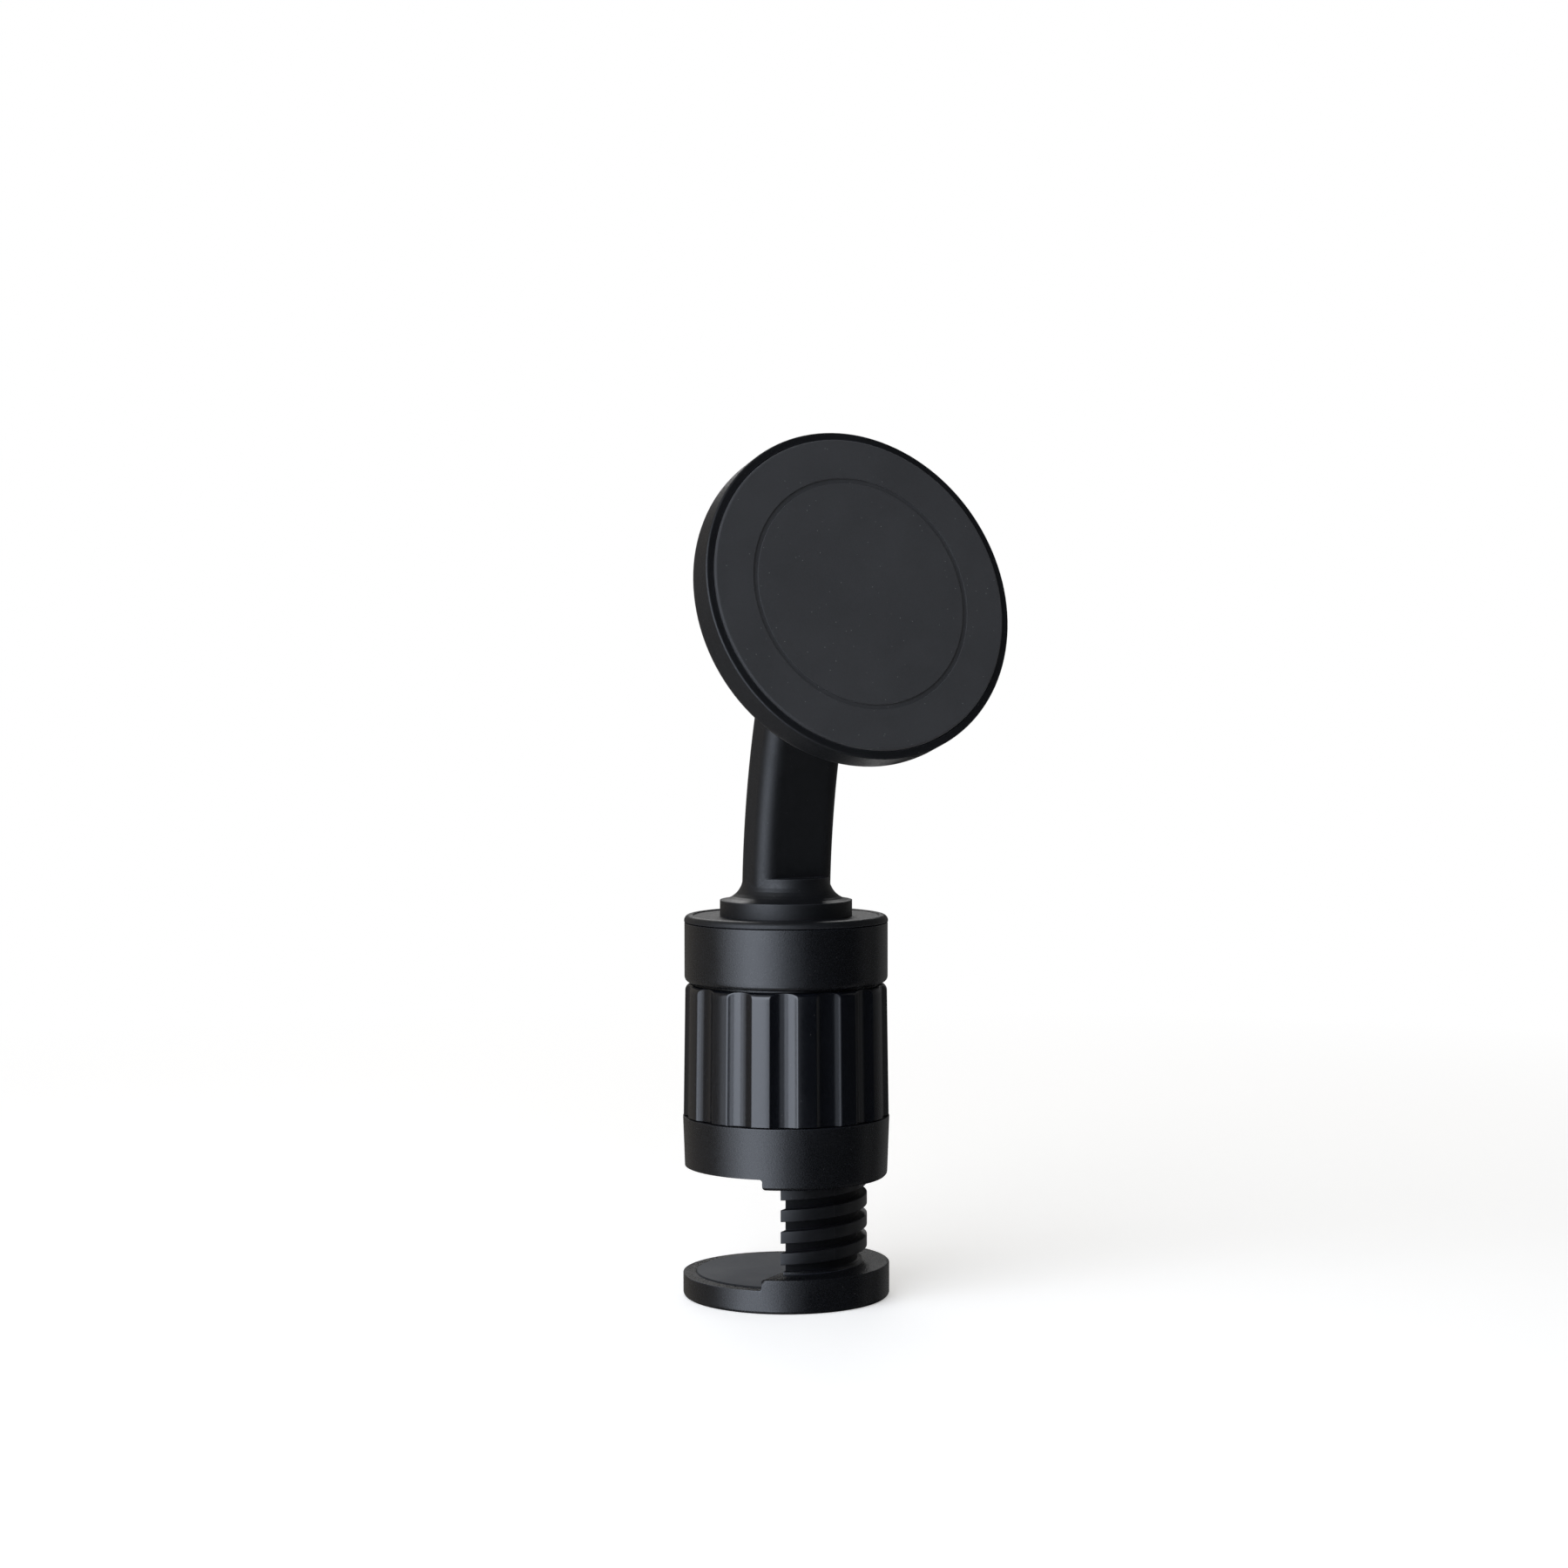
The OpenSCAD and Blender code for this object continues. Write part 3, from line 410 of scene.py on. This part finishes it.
def materials():
    """All finishes, by the record's slots and a few of the pieces' own."""
    if MATERIALS:
        return MATERIALS
    rgb = bpy.context.scene.holder.finishes
    MATERIALS.update(
        # The jaw's edges are painted lightest: a painted highlight along its rims as well as wear
        jaw_plastic=moulded("Jaw plastic", rgb.jaw, roughness=0.285, spread=0.04,
                            grain=0.26 * MM, depth=0.026 * MM, edge=0.2 * MM, level=0.62,
                            edge_wear_and_highlight_gain=20.0),
        post_plastic=moulded("Post plastic", rgb.jaw, roughness=0.36, spread=0.05,
                             grain=0.28 * MM, depth=0.012 * MM, edge=0.08 * MM, level=0.72,
                             seam=SEAM_ANGLE),
        # A duller, less glossy copy of the post plastic: painted shade in the grooves between the
        # ridges
        groove_plastic=moulded("Groove plastic, painted shade", rgb.jaw, roughness=0.5, spread=0.05,
                               grain=0.28 * MM, depth=0.012 * MM, edge=0.08 * MM, level=0.22,
                               seam=SEAM_ANGLE),
        collar_plastic=moulded("Collar plastic", rgb.collar, roughness=0.185, spread=0.03,
                               grain=0.5 * MM, depth=0.003 * MM, edge=0.1 * MM, level=0.74),
        arm_plastic=moulded("Arm plastic", rgb.arm, roughness=0.44, spread=0.05,
                            grain=0.3 * MM, depth=0.012 * MM, edge=0.25 * MM, level=0.45),
        grip_rubber=soft_rubber("Grip rubber", rgb.rubber, grain=0.35 * MM, depth=0.03 * MM),
        face_silicone=soft_rubber("Face silicone", rgb.silicone, grain=0.25 * MM,
                                  depth=0.012 * MM),
        slip_plastic=moulded("Slip plastic", rgb.slip, roughness=0.35, spread=0.05,
                             grain=0.4 * MM, depth=0.002 * MM, edge_wear_and_highlight_gain=1.1),
        screw_steel=plated("Black screw steel", rgb.black_steel, roughness=0.42,
                           metallic=0.85),
        washer_steel=plated("Zinc plated steel", rgb.zinc, roughness=0.32),
        magnet_nickel=plated("Nickel plating", rgb.nickel, roughness=0.22),
    )
    return MATERIALS


# Pieces

def rule_tree(name, inputs):
    """A geometry tree with the named sizes, steps and material as inputs."""
    given = {label: (INT if isinstance(value, int) else FLOAT, value)
             for label, value in inputs.items()}
    given["Material"] = (MATERIAL, None)
    return new_group(name, "GeometryNodeTree", given, {"Geometry": GEOMETRY})


def close_tree(tree, geometry, given, out):
    """Ends a tree in plain smooth geometry with its material."""
    smooth = tree.add("GeometryNodeSetShadeSmooth", {"Geometry": geometry}).outputs[0]
    real = tree.add("GeometryNodeRealizeInstances", {"Geometry": smooth}).outputs[0]
    tree.feed(out["Geometry"], tree.add("GeometryNodeSetMaterial", {
        "Geometry": real, "Material": given["Material"]}).outputs[0])


def fluted_sleeve_tree():
    """A closed sleeve whose outside is cut by round flutes that run out on its top edge."""
    group, tree, given, out = rule_tree("Fluted sleeve", {
        "Radius": 18 * MM, "Bottom": 9 * MM, "Height": 22.8 * MM, "Draft": 0.3 * MM,
        "Bore": 14.3 * MM, "Top round": 1.1 * MM, "Edge round": 0.1 * MM, "Flutes": 14,
        "Flute width": 4.7 * MM, "Flute depth": 0.75 * MM, "Flute edge": 0.1 * MM,
        "First angle": 0.0, "Steps": 56})
    fillet_steps = 7
    rows = 4 * (fillet_steps + 1)
    top = tree.math("ADD", given["Bottom"], given["Height"])
    top_radius = tree.math("SUBTRACT", given["Radius"], given["Draft"])
    outline = tree.add("GeometryNodeCurvePrimitiveQuadrilateral", {
        "Point 1": tree.combine(given["Bore"], given["Bottom"], 0.0),
        "Point 2": tree.combine(given["Radius"], given["Bottom"], 0.0),
        "Point 3": tree.combine(top_radius, top, 0.0),
        "Point 4": tree.combine(given["Bore"], top, 0.0)}, mode="POINTS").outputs[0]
    corner = tree.add("GeometryNodeInputIndex").outputs[0]
    is_top = tree.math("COMPARE", corner, 2.0, 0.1)
    radius = tree.math("ADD", tree.math("MULTIPLY", is_top, given["Top round"]),
                       tree.math("MULTIPLY", tree.math("SUBTRACT", 1.0, is_top),
                                 given["Edge round"]))
    outline = tree.add("GeometryNodeFilletCurve", {
        "Curve": outline, "Count": fillet_steps, "Radius": radius}, mode="POLY").outputs[0]
    columns = tree.math("MULTIPLY", given["Flutes"], given["Steps"])
    grid = tree.add("GeometryNodeMeshGrid", {
        "Vertices X": tree.math("ADD", columns, 1.0), "Vertices Y": rows + 1}).outputs["Mesh"]
    index = tree.add("GeometryNodeInputIndex").outputs[0]
    column = tree.math("FLOOR", tree.math("DIVIDE", tree.math("ADD", index, 0.5), rows + 1.0))
    row = tree.math("SUBTRACT", index, tree.math("MULTIPLY", column, rows + 1.0))
    spot = tree.add("GeometryNodeSampleIndex", {
        "Geometry": outline, "Value": tree.add("GeometryNodeInputPosition").outputs[0],
        "Index": tree.math("MODULO", row, float(rows))}, data_type="FLOAT_VECTOR").outputs[0]
    spot = tree.add("ShaderNodeSeparateXYZ", {"Vector": spot}).outputs
    turn = tree.math("MULTIPLY", tree.math("DIVIDE", column, columns), 2 * math.pi)
    # Distance round from the middle of the nearest flute
    half = tree.math("DIVIDE", math.pi, given["Flutes"])
    side = tree.math("WRAP", tree.math("SUBTRACT", turn, given["First angle"]), half,
                     tree.math("MULTIPLY", half, -1.0))
    # A round cutter of the flute's width and depth
    width_square = tree.math("MULTIPLY", given["Flute width"], given["Flute width"])
    depth_square = tree.math("MULTIPLY", given["Flute depth"], given["Flute depth"])
    cutter = tree.math("DIVIDE", tree.math("ADD", tree.math("MULTIPLY", width_square, 0.25),
                                           depth_square),
                       tree.math("MULTIPLY", given["Flute depth"], 2.0))
    up = tree.math("DIVIDE", tree.math("SUBTRACT", spot["Y"], given["Bottom"]), given["Height"])
    centre = tree.math("SUBTRACT", tree.math("ADD", tree.math("SUBTRACT", given["Radius"],
                                                              given["Flute depth"]), cutter),
                       tree.math("MULTIPLY", given["Draft"], up))
    off = tree.math("MULTIPLY", centre, tree.math("SINE", side))
    inside = tree.math("MAXIMUM", tree.math("SUBTRACT", tree.math("MULTIPLY", cutter, cutter),
                                            tree.math("MULTIPLY", off, off)), 0.0)
    cut = tree.math("SUBTRACT", tree.math("MULTIPLY", centre, tree.math("COSINE", side)),
                    tree.math("SQRT", inside))
    fluted = tree.math("SMOOTH_MIN", spot["X"], cut, given["Flute edge"])
    middle = tree.math("MULTIPLY", tree.math("ADD", given["Radius"], given["Bore"]), 0.5)
    outer = tree.math("GREATER_THAN", spot["X"], middle)
    reach = tree.math("ADD", tree.math("MULTIPLY", outer, fluted),
                      tree.math("MULTIPLY", tree.math("SUBTRACT", 1.0, outer), spot["X"]))
    place = tree.combine(tree.math("MULTIPLY", reach, tree.math("COSINE", turn)),
                         tree.math("MULTIPLY", reach, tree.math("SINE", turn)), spot["Y"])
    wrapped = tree.add("GeometryNodeSetPosition", {"Geometry": grid, "Position": place})
    merged = tree.add("GeometryNodeMergeByDistance", {
        "Geometry": wrapped.outputs[0], "Distance": 1e-6}).outputs[0]
    close_tree(tree, merged, given, out)
    return group


def helical_ridge_tree():
    """Ridges that wind about Z, each cut off by a flat side or wound through whole turns."""
    group, tree, given, out = rule_tree("Helical ridge", {
        "Inner radius": 12.2 * MM, "Outer radius": 14.1 * MM, "Flat": 5.4 * MM, "Turns": 0.0,
        "Pitch": 3.7 * MM, "Ridge height": 2 * MM, "Round": 0.2 * MM, "First": 0.0,
        "Ridges": 8, "Steps": 96})
    line = tree.add("GeometryNodeCurvePrimitiveLine", {"End": (1.0, 0.0, 0.0)}).outputs[0]
    line = tree.add("GeometryNodeResampleCurve", {"Curve": line, "Count": given["Steps"]})
    deep = tree.math("SUBTRACT", given["Outer radius"], given["Inner radius"])
    section = tree.add("GeometryNodeCurvePrimitiveQuadrilateral", {
        "Width": deep, "Height": given["Ridge height"]}).outputs[0]
    section = tree.add("GeometryNodeFilletCurve", {
        "Curve": section, "Count": 4, "Radius": given["Round"]}, mode="POLY").outputs[0]
    bar = tree.add("GeometryNodeCurveToMesh", {
        "Curve": line.outputs[0], "Profile Curve": section, "Fill Caps": True}).outputs[0]
    spot = tree.add("ShaderNodeSeparateXYZ", {
        "Vector": tree.add("GeometryNodeInputPosition").outputs[0]}).outputs
    reach = tree.math("ADD", tree.math("MULTIPLY", tree.math(
        "ADD", given["Inner radius"], given["Outer radius"]), 0.5), spot["Y"])
    to_flat = tree.math("ARCCOSINE", tree.math("DIVIDE", given["Flat"], reach))
    span = tree.math("MAXIMUM", to_flat, tree.math("MULTIPLY", given["Turns"], math.pi))
    side = tree.math("MULTIPLY", span, tree.math(
        "SUBTRACT", 1.0, tree.math("MULTIPLY", spot["X"], 2.0)))
    turn = tree.math("SUBTRACT", side, math.pi / 2)
    rise = tree.math("MULTIPLY", given["Pitch"], tree.math("DIVIDE", side, 2 * math.pi))
    place = tree.combine(tree.math("MULTIPLY", reach, tree.math("COSINE", turn)),
                         tree.math("MULTIPLY", reach, tree.math("SINE", turn)),
                         tree.math("ADD", spot["Z"], rise))
    bent = tree.add("GeometryNodeSetPosition", {"Geometry": bar, "Position": place}).outputs[0]
    ladder = tree.add("GeometryNodeMeshLine", {
        "Count": given["Ridges"], "Start Location": tree.combine(0.0, 0.0, given["First"]),
        "Offset": tree.combine(0.0, 0.0, given["Pitch"])}).outputs[0]
    ridges = tree.add("GeometryNodeInstanceOnPoints", {"Points": ladder, "Instance": bent})
    close_tree(tree, ridges.outputs[0], given, out)
    return group


def new_object(name, data):
    """Puts a mesh, lamp or camera into the scene as an object."""
    thing = bpy.data.objects.new(name, data)
    bpy.context.scene.collection.objects.link(thing)
    return thing


def evaluated_mesh(piece):
    """The plain mesh that an object's modifiers make."""
    graph = bpy.context.evaluated_depsgraph_get()
    return bpy.data.meshes.new_from_object(piece.evaluated_get(graph))


def run_tree(group, name, values, material):
    """Runs a tree with the given inputs and returns its result as a plain object."""
    holder = new_object("maker", bpy.data.meshes.new("maker"))
    maker = holder.modifiers.new("rule", "NODES")
    maker.node_group = group
    for socket in group.interface.items_tree:
        if socket.in_out == "INPUT":
            value = material if socket.name == "Material" else values.get(socket.name)
            if value is not None:
                maker[socket.identifier] = value
    mesh = evaluated_mesh(holder)
    bpy.data.objects.remove(holder)
    mesh.name = name
    return new_object(name, mesh)


def new_piece(name, body, *finishes):
    """An object from a finished mesh in the works, with its materials."""
    mesh = bpy.data.meshes.new(name)
    body.to_mesh(mesh)
    body.free()
    for finish in finishes:
        mesh.materials.append(finish)
    return new_object(name, mesh)


def plain_copy(node, name, finish):
    """A merged copy of a CAD node's mesh, to be worked on as a new piece."""
    body = bmesh.new()
    body.from_mesh(NODES[node].data)
    bmesh.ops.remove_doubles(body, verts=body.verts, dist=WELD)
    return new_piece(name, body, finish)


def even_normals(piece):
    """Keeps flat and round sides even beside their small roundings, with the result applied."""
    modifier = piece.modifiers.new("even", "WEIGHTED_NORMAL")
    modifier.keep_sharp = True
    modifier.weight = 80
    mesh = evaluated_mesh(piece)
    piece.modifiers.clear()
    old, piece.data = piece.data, mesh
    bpy.data.meshes.remove(old)


def join(name, pieces):
    """One object from several, all in the frame's own place."""
    body = bmesh.new()
    finishes = []
    for piece in pieces:
        part = bmesh.new()
        part.from_mesh(piece.data)
        for face in part.faces:
            face.material_index += len(finishes)
        part.to_mesh(piece.data)
        part.free()
        body.from_mesh(piece.data)
        finishes += piece.data.materials
        bpy.data.objects.remove(piece)
    return new_piece(name, body, *finishes)


def solid_below(piece, height):
    """Keeps the part of a closed mesh below a height and closes the cut."""
    body = bmesh.new()
    body.from_mesh(piece.data)
    cut = bmesh.ops.bisect_plane(body, geom=body.verts[:] + body.edges[:] + body.faces[:],
                                 dist=WELD, plane_co=(0, 0, height), plane_no=(0, 0, 1),
                                 clear_outer=True)
    rim = [e for e in cut["geom_cut"] if isinstance(e, bmesh.types.BMEdge)]
    bmesh.ops.holes_fill(body, edges=rim, sides=0)
    body.to_mesh(piece.data)
    body.free()


class HOLDER_OT_plain_nodes(bpy.types.Operator):
    """Gives every CAD piece its finish"""
    bl_idname = "holder.plain_nodes"
    bl_label = "Finish the plain pieces"

    def execute(self, context):
        finishes = materials()
        for part in frame["record"]["subparts"]:
            piece = NODES[part["node"]]
            piece.data.materials.clear()
            piece.data.materials.append(finishes[part["material_slot"]])
        return {"FINISHED"}


class HOLDER_OT_collar(bpy.types.Operator):
    """Makes the fluted collar with the thread in its bore"""
    bl_idname = "holder.collar"
    bl_label = "Make the fluted collar"

    def execute(self, context):
        sizes, post = context.scene.holder.collar, context.scene.holder.post
        plastic = materials()["collar_plastic"]
        thread = run_tree(helical_ridge_tree(), "collar_thread", {
            "Inner radius": post.core + THREAD_FIT, "Outer radius": sizes.thread_bore + BITE,
            "Turns": sizes.thread_turns, "Pitch": post.pitch,
            "Ridge height": post.pitch - post.ridge - 2 * THREAD_FIT, "Round": THREAD_ROUND,
            "First": LIP + post.first + (post.ridges - 0.5) * post.pitch, "Ridges": 1,
            "Steps": THREAD_STEPS}, plastic)
        band = ring("thread_band", sizes.thread_bore, sizes.bore + BITE,
                    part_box("slip_washer")[1].z + END_GAP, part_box("cap")[0].z - END_GAP, plastic)
        sleeve = run_tree(fluted_sleeve_tree(), "collar_sleeve", {
            "Radius": sizes.radius, "Bottom": sizes.bottom, "Height": sizes.height,
            "Draft": sizes.draft, "Bore": sizes.bore, "Top round": sizes.top_round,
            "Edge round": sizes.edge_round, "Flutes": sizes.flutes,
            "Flute width": sizes.flute_width, "Flute depth": sizes.flute_depth,
            "Flute edge": sizes.flute_edge, "First angle": sizes.first_angle}, plastic)
        even_normals(sleeve)
        collar = join("fluted_collar", [sleeve, band, thread])
        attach(collar, "collar")
        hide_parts("clamp_collar")
        return {"FINISHED"}


class HOLDER_OT_post(bpy.types.Operator):
    """Makes the lower jaw with its half-round threaded post"""
    bl_idname = "holder.post"
    bl_label = "Make the threaded post"

    def execute(self, context):
        sizes = context.scene.holder.post
        plastic = materials()["post_plastic"]
        ridges = run_tree(helical_ridge_tree(), "post_ridges", {
            "Inner radius": sizes.core - BITE, "Outer radius": sizes.crest,
            "Flat": sizes.flat, "Pitch": sizes.pitch, "Ridge height": sizes.ridge,
            "Round": sizes.ridge_round, "First": LIP + sizes.first,
            "Ridges": sizes.ridges}, plastic)
        # The core between the ridges takes the darker groove plastic, painted shade in the grooves
        core = half_round("post_core", sizes.core, sizes.flat, CORE_START, JAW_HIGH.z,
                          materials()["groove_plastic"])
        jaw = plain_copy("screw_jaw", "jaw_disc", materials()["jaw_plastic"])
        solid_below(jaw, JAW_CUT)
        lower = join("threaded_lower_jaw", [jaw, core, ridges])
        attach(lower, "lower_jaw")
        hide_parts("screw_jaw")
        return {"FINISHED"}


def arc_row(body, radius, height, start, end, steps):
    """New corners along an arc about Z."""
    turns = [start + (end - start) * i / steps for i in range(steps + 1)]
    return [body.verts.new((radius * math.cos(a), radius * math.sin(a), height)) for a in turns]


def half_round(name, radius, flat, low, high, material):
    """An upright bar with a round front and a flat side at +Y."""
    span, steps = math.acos(flat / radius), 72
    body = bmesh.new()
    below, above = (arc_row(body, radius, height, -math.pi / 2 - span, -math.pi / 2 + span,
                            steps) for height in (low, high))
    body.faces.new(reversed(below))
    body.faces.new(above)
    for i in range(len(below)):
        j = (i + 1) % len(below)
        side = body.faces.new((below[i], below[j], above[j], above[i]))
        side.smooth = j > 0
    return new_piece(name, body, material)


def ring(name, inner, outer, low, high, material):
    """An upright ring with flat ends."""
    steps = 144
    body = bmesh.new()
    rows = [arc_row(body, radius, height, 0.0, 2 * math.pi * (1 - 1 / steps), steps - 1)
            for radius, height in ((inner, low), (outer, low), (outer, high), (inner, high))]
    for k, row in enumerate(rows):
        beyond = rows[(k + 1) % 4]
        for i in range(steps):
            j = (i + 1) % steps
            side = body.faces.new((row[i], row[j], beyond[j], beyond[i]))
            side.smooth = k % 2 == 1
    bmesh.ops.recalc_face_normals(body, faces=body.faces)
    return new_piece(name, body, material)


class HOLDER_OT_stage(bpy.types.Operator):
    """Makes the floor, the lights, the white surroundings and the camera"""
    bl_idname = "holder.stage"
    bl_label = "Make the stage"

    def execute(self, context):
        scene, sizes = context.scene, context.scene.holder.stage
        make_floor(sizes)
        make_surroundings(scene, sizes)
        # Name, azimuth and elevation from the clamp, distance, width, height, power
        lamps = (("key", 170, 22, 0.7, 0.45, 0.7, sizes.key_power),
                 ("side", 146, 22, 0.7, 0.15, 0.7, sizes.side_power),
                 ("far_side", 134, 22, 0.7, 0.15, 0.7, sizes.far_side_power),
                 ("front", 195, 22, 0.7, 0.17, 0.7, sizes.front_power),
                 ("near", 212, 22, 0.7, 0.25, 0.7, sizes.near_power),
                 ("top", 160, 78, 0.7, 0.5, 0.5, sizes.top_power),
                 ("fill", -50, 22, 0.7, 0.3, 0.7, sizes.fill_power),
                 ("back", 32, 36, 0.8, 0.4, 0.4, sizes.back_power))
        for name, azimuth, height, away, width, tall, power in lamps:
            tone = WHITE if name in ("top", "fill", "back") else sizes.lamp_colour
            add_light(name, azimuth, height, away, width, tall, power, tone)
        add_camera(scene)
        scene.view_settings.view_transform = "Standard"
        return {"FINISHED"}


def make_floor(sizes):
    """A wide pale disc under the lower jaw that keeps the object's shadow."""
    radius, fade_start, fade_end = 3.0, 0.1, 0.45
    material, tree, shader = new_material("Floor")
    body = bmesh.new()
    bmesh.ops.create_circle(body, cap_ends=True, radius=radius, segments=96)
    bmesh.ops.translate(body, verts=body.verts, vec=(0.0, 0.0, JAW_LOW.z))
    floor = new_piece("floor", body, material)
    place = tree.add("ShaderNodeTexCoord").outputs["Object"]
    cloud = tree.add("ShaderNodeTexNoise", {"Vector": place, "Scale": 3.0}).outputs["Fac"]
    tree.feed(shader.inputs["Base Color"], tree.blend(
        cloud, opaque(sizes.floor, 0.99), opaque(sizes.floor)))
    shader.inputs["Roughness"].default_value = 0.9
    shader.inputs["Specular IOR Level"].default_value = 0.1
    shader.inputs["Emission Color"].default_value = opaque(WHITE)
    # Away from the object the floor turns white to the camera
    away = tree.add("ShaderNodeVectorMath", {"Vector": place}, operation="LENGTH")
    path = tree.add("ShaderNodeLightPath").outputs
    tree.feed(shader.inputs["Emission Strength"],
              tree.math("MULTIPLY", path["Is Camera Ray"], sizes.floor_lift))
    far = tree.math("MULTIPLY", path["Is Camera Ray"],
                    tree.ramp(away.outputs["Value"], fade_start, fade_end))
    shown = tree.add("ShaderNodeMixShader", {"Fac": far})
    tree.feed(shown.inputs[1], shader.outputs[0])
    tree.feed(shown.inputs[2], tree.add("ShaderNodeEmission", {"Strength": 1.0}).outputs[0])
    # In reflections it mirrors the surroundings, as a polished floor does at a low angle
    mirror = tree.add("ShaderNodeBsdfGlossy", {"Roughness": 0.05}).outputs[0]
    end = tree.add("ShaderNodeMixShader", {"Fac": path["Is Glossy Ray"]})
    tree.feed(end.inputs[1], shown.outputs[0])
    tree.feed(end.inputs[2], mirror)
    tree.feed(material.node_tree.nodes["Material Output"].inputs["Surface"], end.outputs[0])


def make_surroundings(scene, sizes):
    """White to the camera, a plain soft light on surfaces and a dim studio in reflections."""
    world = bpy.data.worlds.new("Surroundings")
    scene.world = world
    world.use_nodes = True
    tree = Tree(world.node_tree)
    world.node_tree.nodes.clear()
    path = tree.add("ShaderNodeLightPath").outputs
    toward = tree.add("ShaderNodeTexCoord").outputs["Generated"]
    # Reflections show pale walls behind the object and at its left, and little elsewhere
    behind = facing_mask(tree, toward, azimuth=-6.0, inner=14, outer=32)
    left = facing_mask(tree, toward, azimuth=96.0, inner=36, outer=76)
    behind_wall, left_wall, elsewhere, soft_light = 0.17, 0.23, 0.008, 0.22
    shown = tree.math("MAXIMUM", tree.math("MULTIPLY", behind, behind_wall),
                      tree.ramp(left, 0.0, 1.0, elsewhere, left_wall))
    mirrored = tree.math("MAXIMUM", path["Is Glossy Ray"], path["Is Transmission Ray"])
    plain = tree.ramp(path["Is Camera Ray"], 0.0, 1.0, soft_light, 1.0)
    strength = tree.math("ADD", tree.math("MULTIPLY", mirrored, shown),
                         tree.math("MULTIPLY", tree.math("SUBTRACT", 1.0, mirrored), plain))
    tone = tree.blend(tree.math("MULTIPLY", mirrored, left), opaque(WHITE),
                      opaque(sizes.left_colour))
    light = tree.add("ShaderNodeBackground", {"Color": tone, "Strength": strength})
    end = tree.add("ShaderNodeOutputWorld")
    tree.feed(end.inputs["Surface"], light.outputs[0])


def facing_mask(tree, toward, azimuth, inner, outer):
    """1 within the inner angle of a level direction, 0 beyond the outer one, in degrees."""
    a = math.radians(azimuth)
    dot = tree.add("ShaderNodeVectorMath", {0: toward, 1: (math.cos(a), math.sin(a), 0.0)},
                   operation="DOT_PRODUCT").outputs["Value"]
    return tree.ramp(dot, math.cos(math.radians(outer)), math.cos(math.radians(inner)))


def add_light(name, azimuth, height, away, width, tall, power, tone):
    """A soft light that faces the clamp from a direction about Z and a height, in degrees."""
    a, e = math.radians(azimuth), math.radians(height)
    out = Vector((math.cos(a) * math.cos(e), math.sin(a) * math.cos(e), math.sin(e)))
    lamp = bpy.data.lights.new(name, "AREA")
    lamp.shape = "RECTANGLE"
    lamp.size, lamp.size_y = width, tall
    lamp.energy = power
    lamp.color = tone
    light = new_object(name, lamp)
    middle = Vector((0.0, 0.0, 0.03))
    light.location = middle + out * away
    light.rotation_euler = (-out).to_track_quat("-Z", "Y").to_euler()


def add_camera(scene):
    """The camera at the photograph's place, fitted to the outlines of the clamp."""
    place = Vector((-0.4842, -0.2414, 0.0886))
    turn, pitch, roll = math.radians(26.5) + 0.0006, 0.0406, -0.0008
    ahead = Vector((math.cos(turn) * math.cos(pitch), math.sin(turn) * math.cos(pitch),
                    -math.sin(pitch)))
    right = Vector((math.sin(turn), -math.cos(turn), 0.0))
    up = right.cross(ahead)
    level, over = math.cos(roll), math.sin(roll)
    right, up = level * right + over * up, level * up - over * right
    lens = bpy.data.cameras.new("camera")
    lens.sensor_width, lens.lens = 36.0, 71.52
    lens.clip_start, lens.clip_end = 0.01, 20.0
    camera = new_object("camera", lens)
    pose = Matrix((right, up, -ahead)).transposed().to_4x4()
    pose.translation = place
    camera.matrix_world = pose
    scene.camera = camera


class HOLDER_PT_panel(bpy.types.Panel):
    """Buttons for each group of pieces"""
    bl_idname = "HOLDER_PT_panel"
    bl_label = "Phone holder"
    bl_space_type = "VIEW_3D"
    bl_region_type = "UI"
    bl_category = "Holder"

    def draw(self, context):
        for step in STEPS:
            self.layout.operator(step.bl_idname)


STEPS = (HOLDER_OT_plain_nodes, HOLDER_OT_collar, HOLDER_OT_post, HOLDER_OT_stage)
CLASSES = (CollarSizes, PostSizes, Finishes, StageSizes, HolderSettings, *STEPS,
           HOLDER_PT_panel)


def register():
    for item in CLASSES:
        bpy.utils.register_class(item)
    bpy.types.Scene.holder = PointerProperty(type=HolderSettings)


def unregister():
    del bpy.types.Scene.holder
    for item in reversed(CLASSES):
        bpy.utils.unregister_class(item)


def main():
    register()
    bpy.ops.holder.plain_nodes()
    bpy.ops.holder.collar()
    bpy.ops.holder.post()
    bpy.ops.holder.stage()


if __name__ == "__main__":
    main()
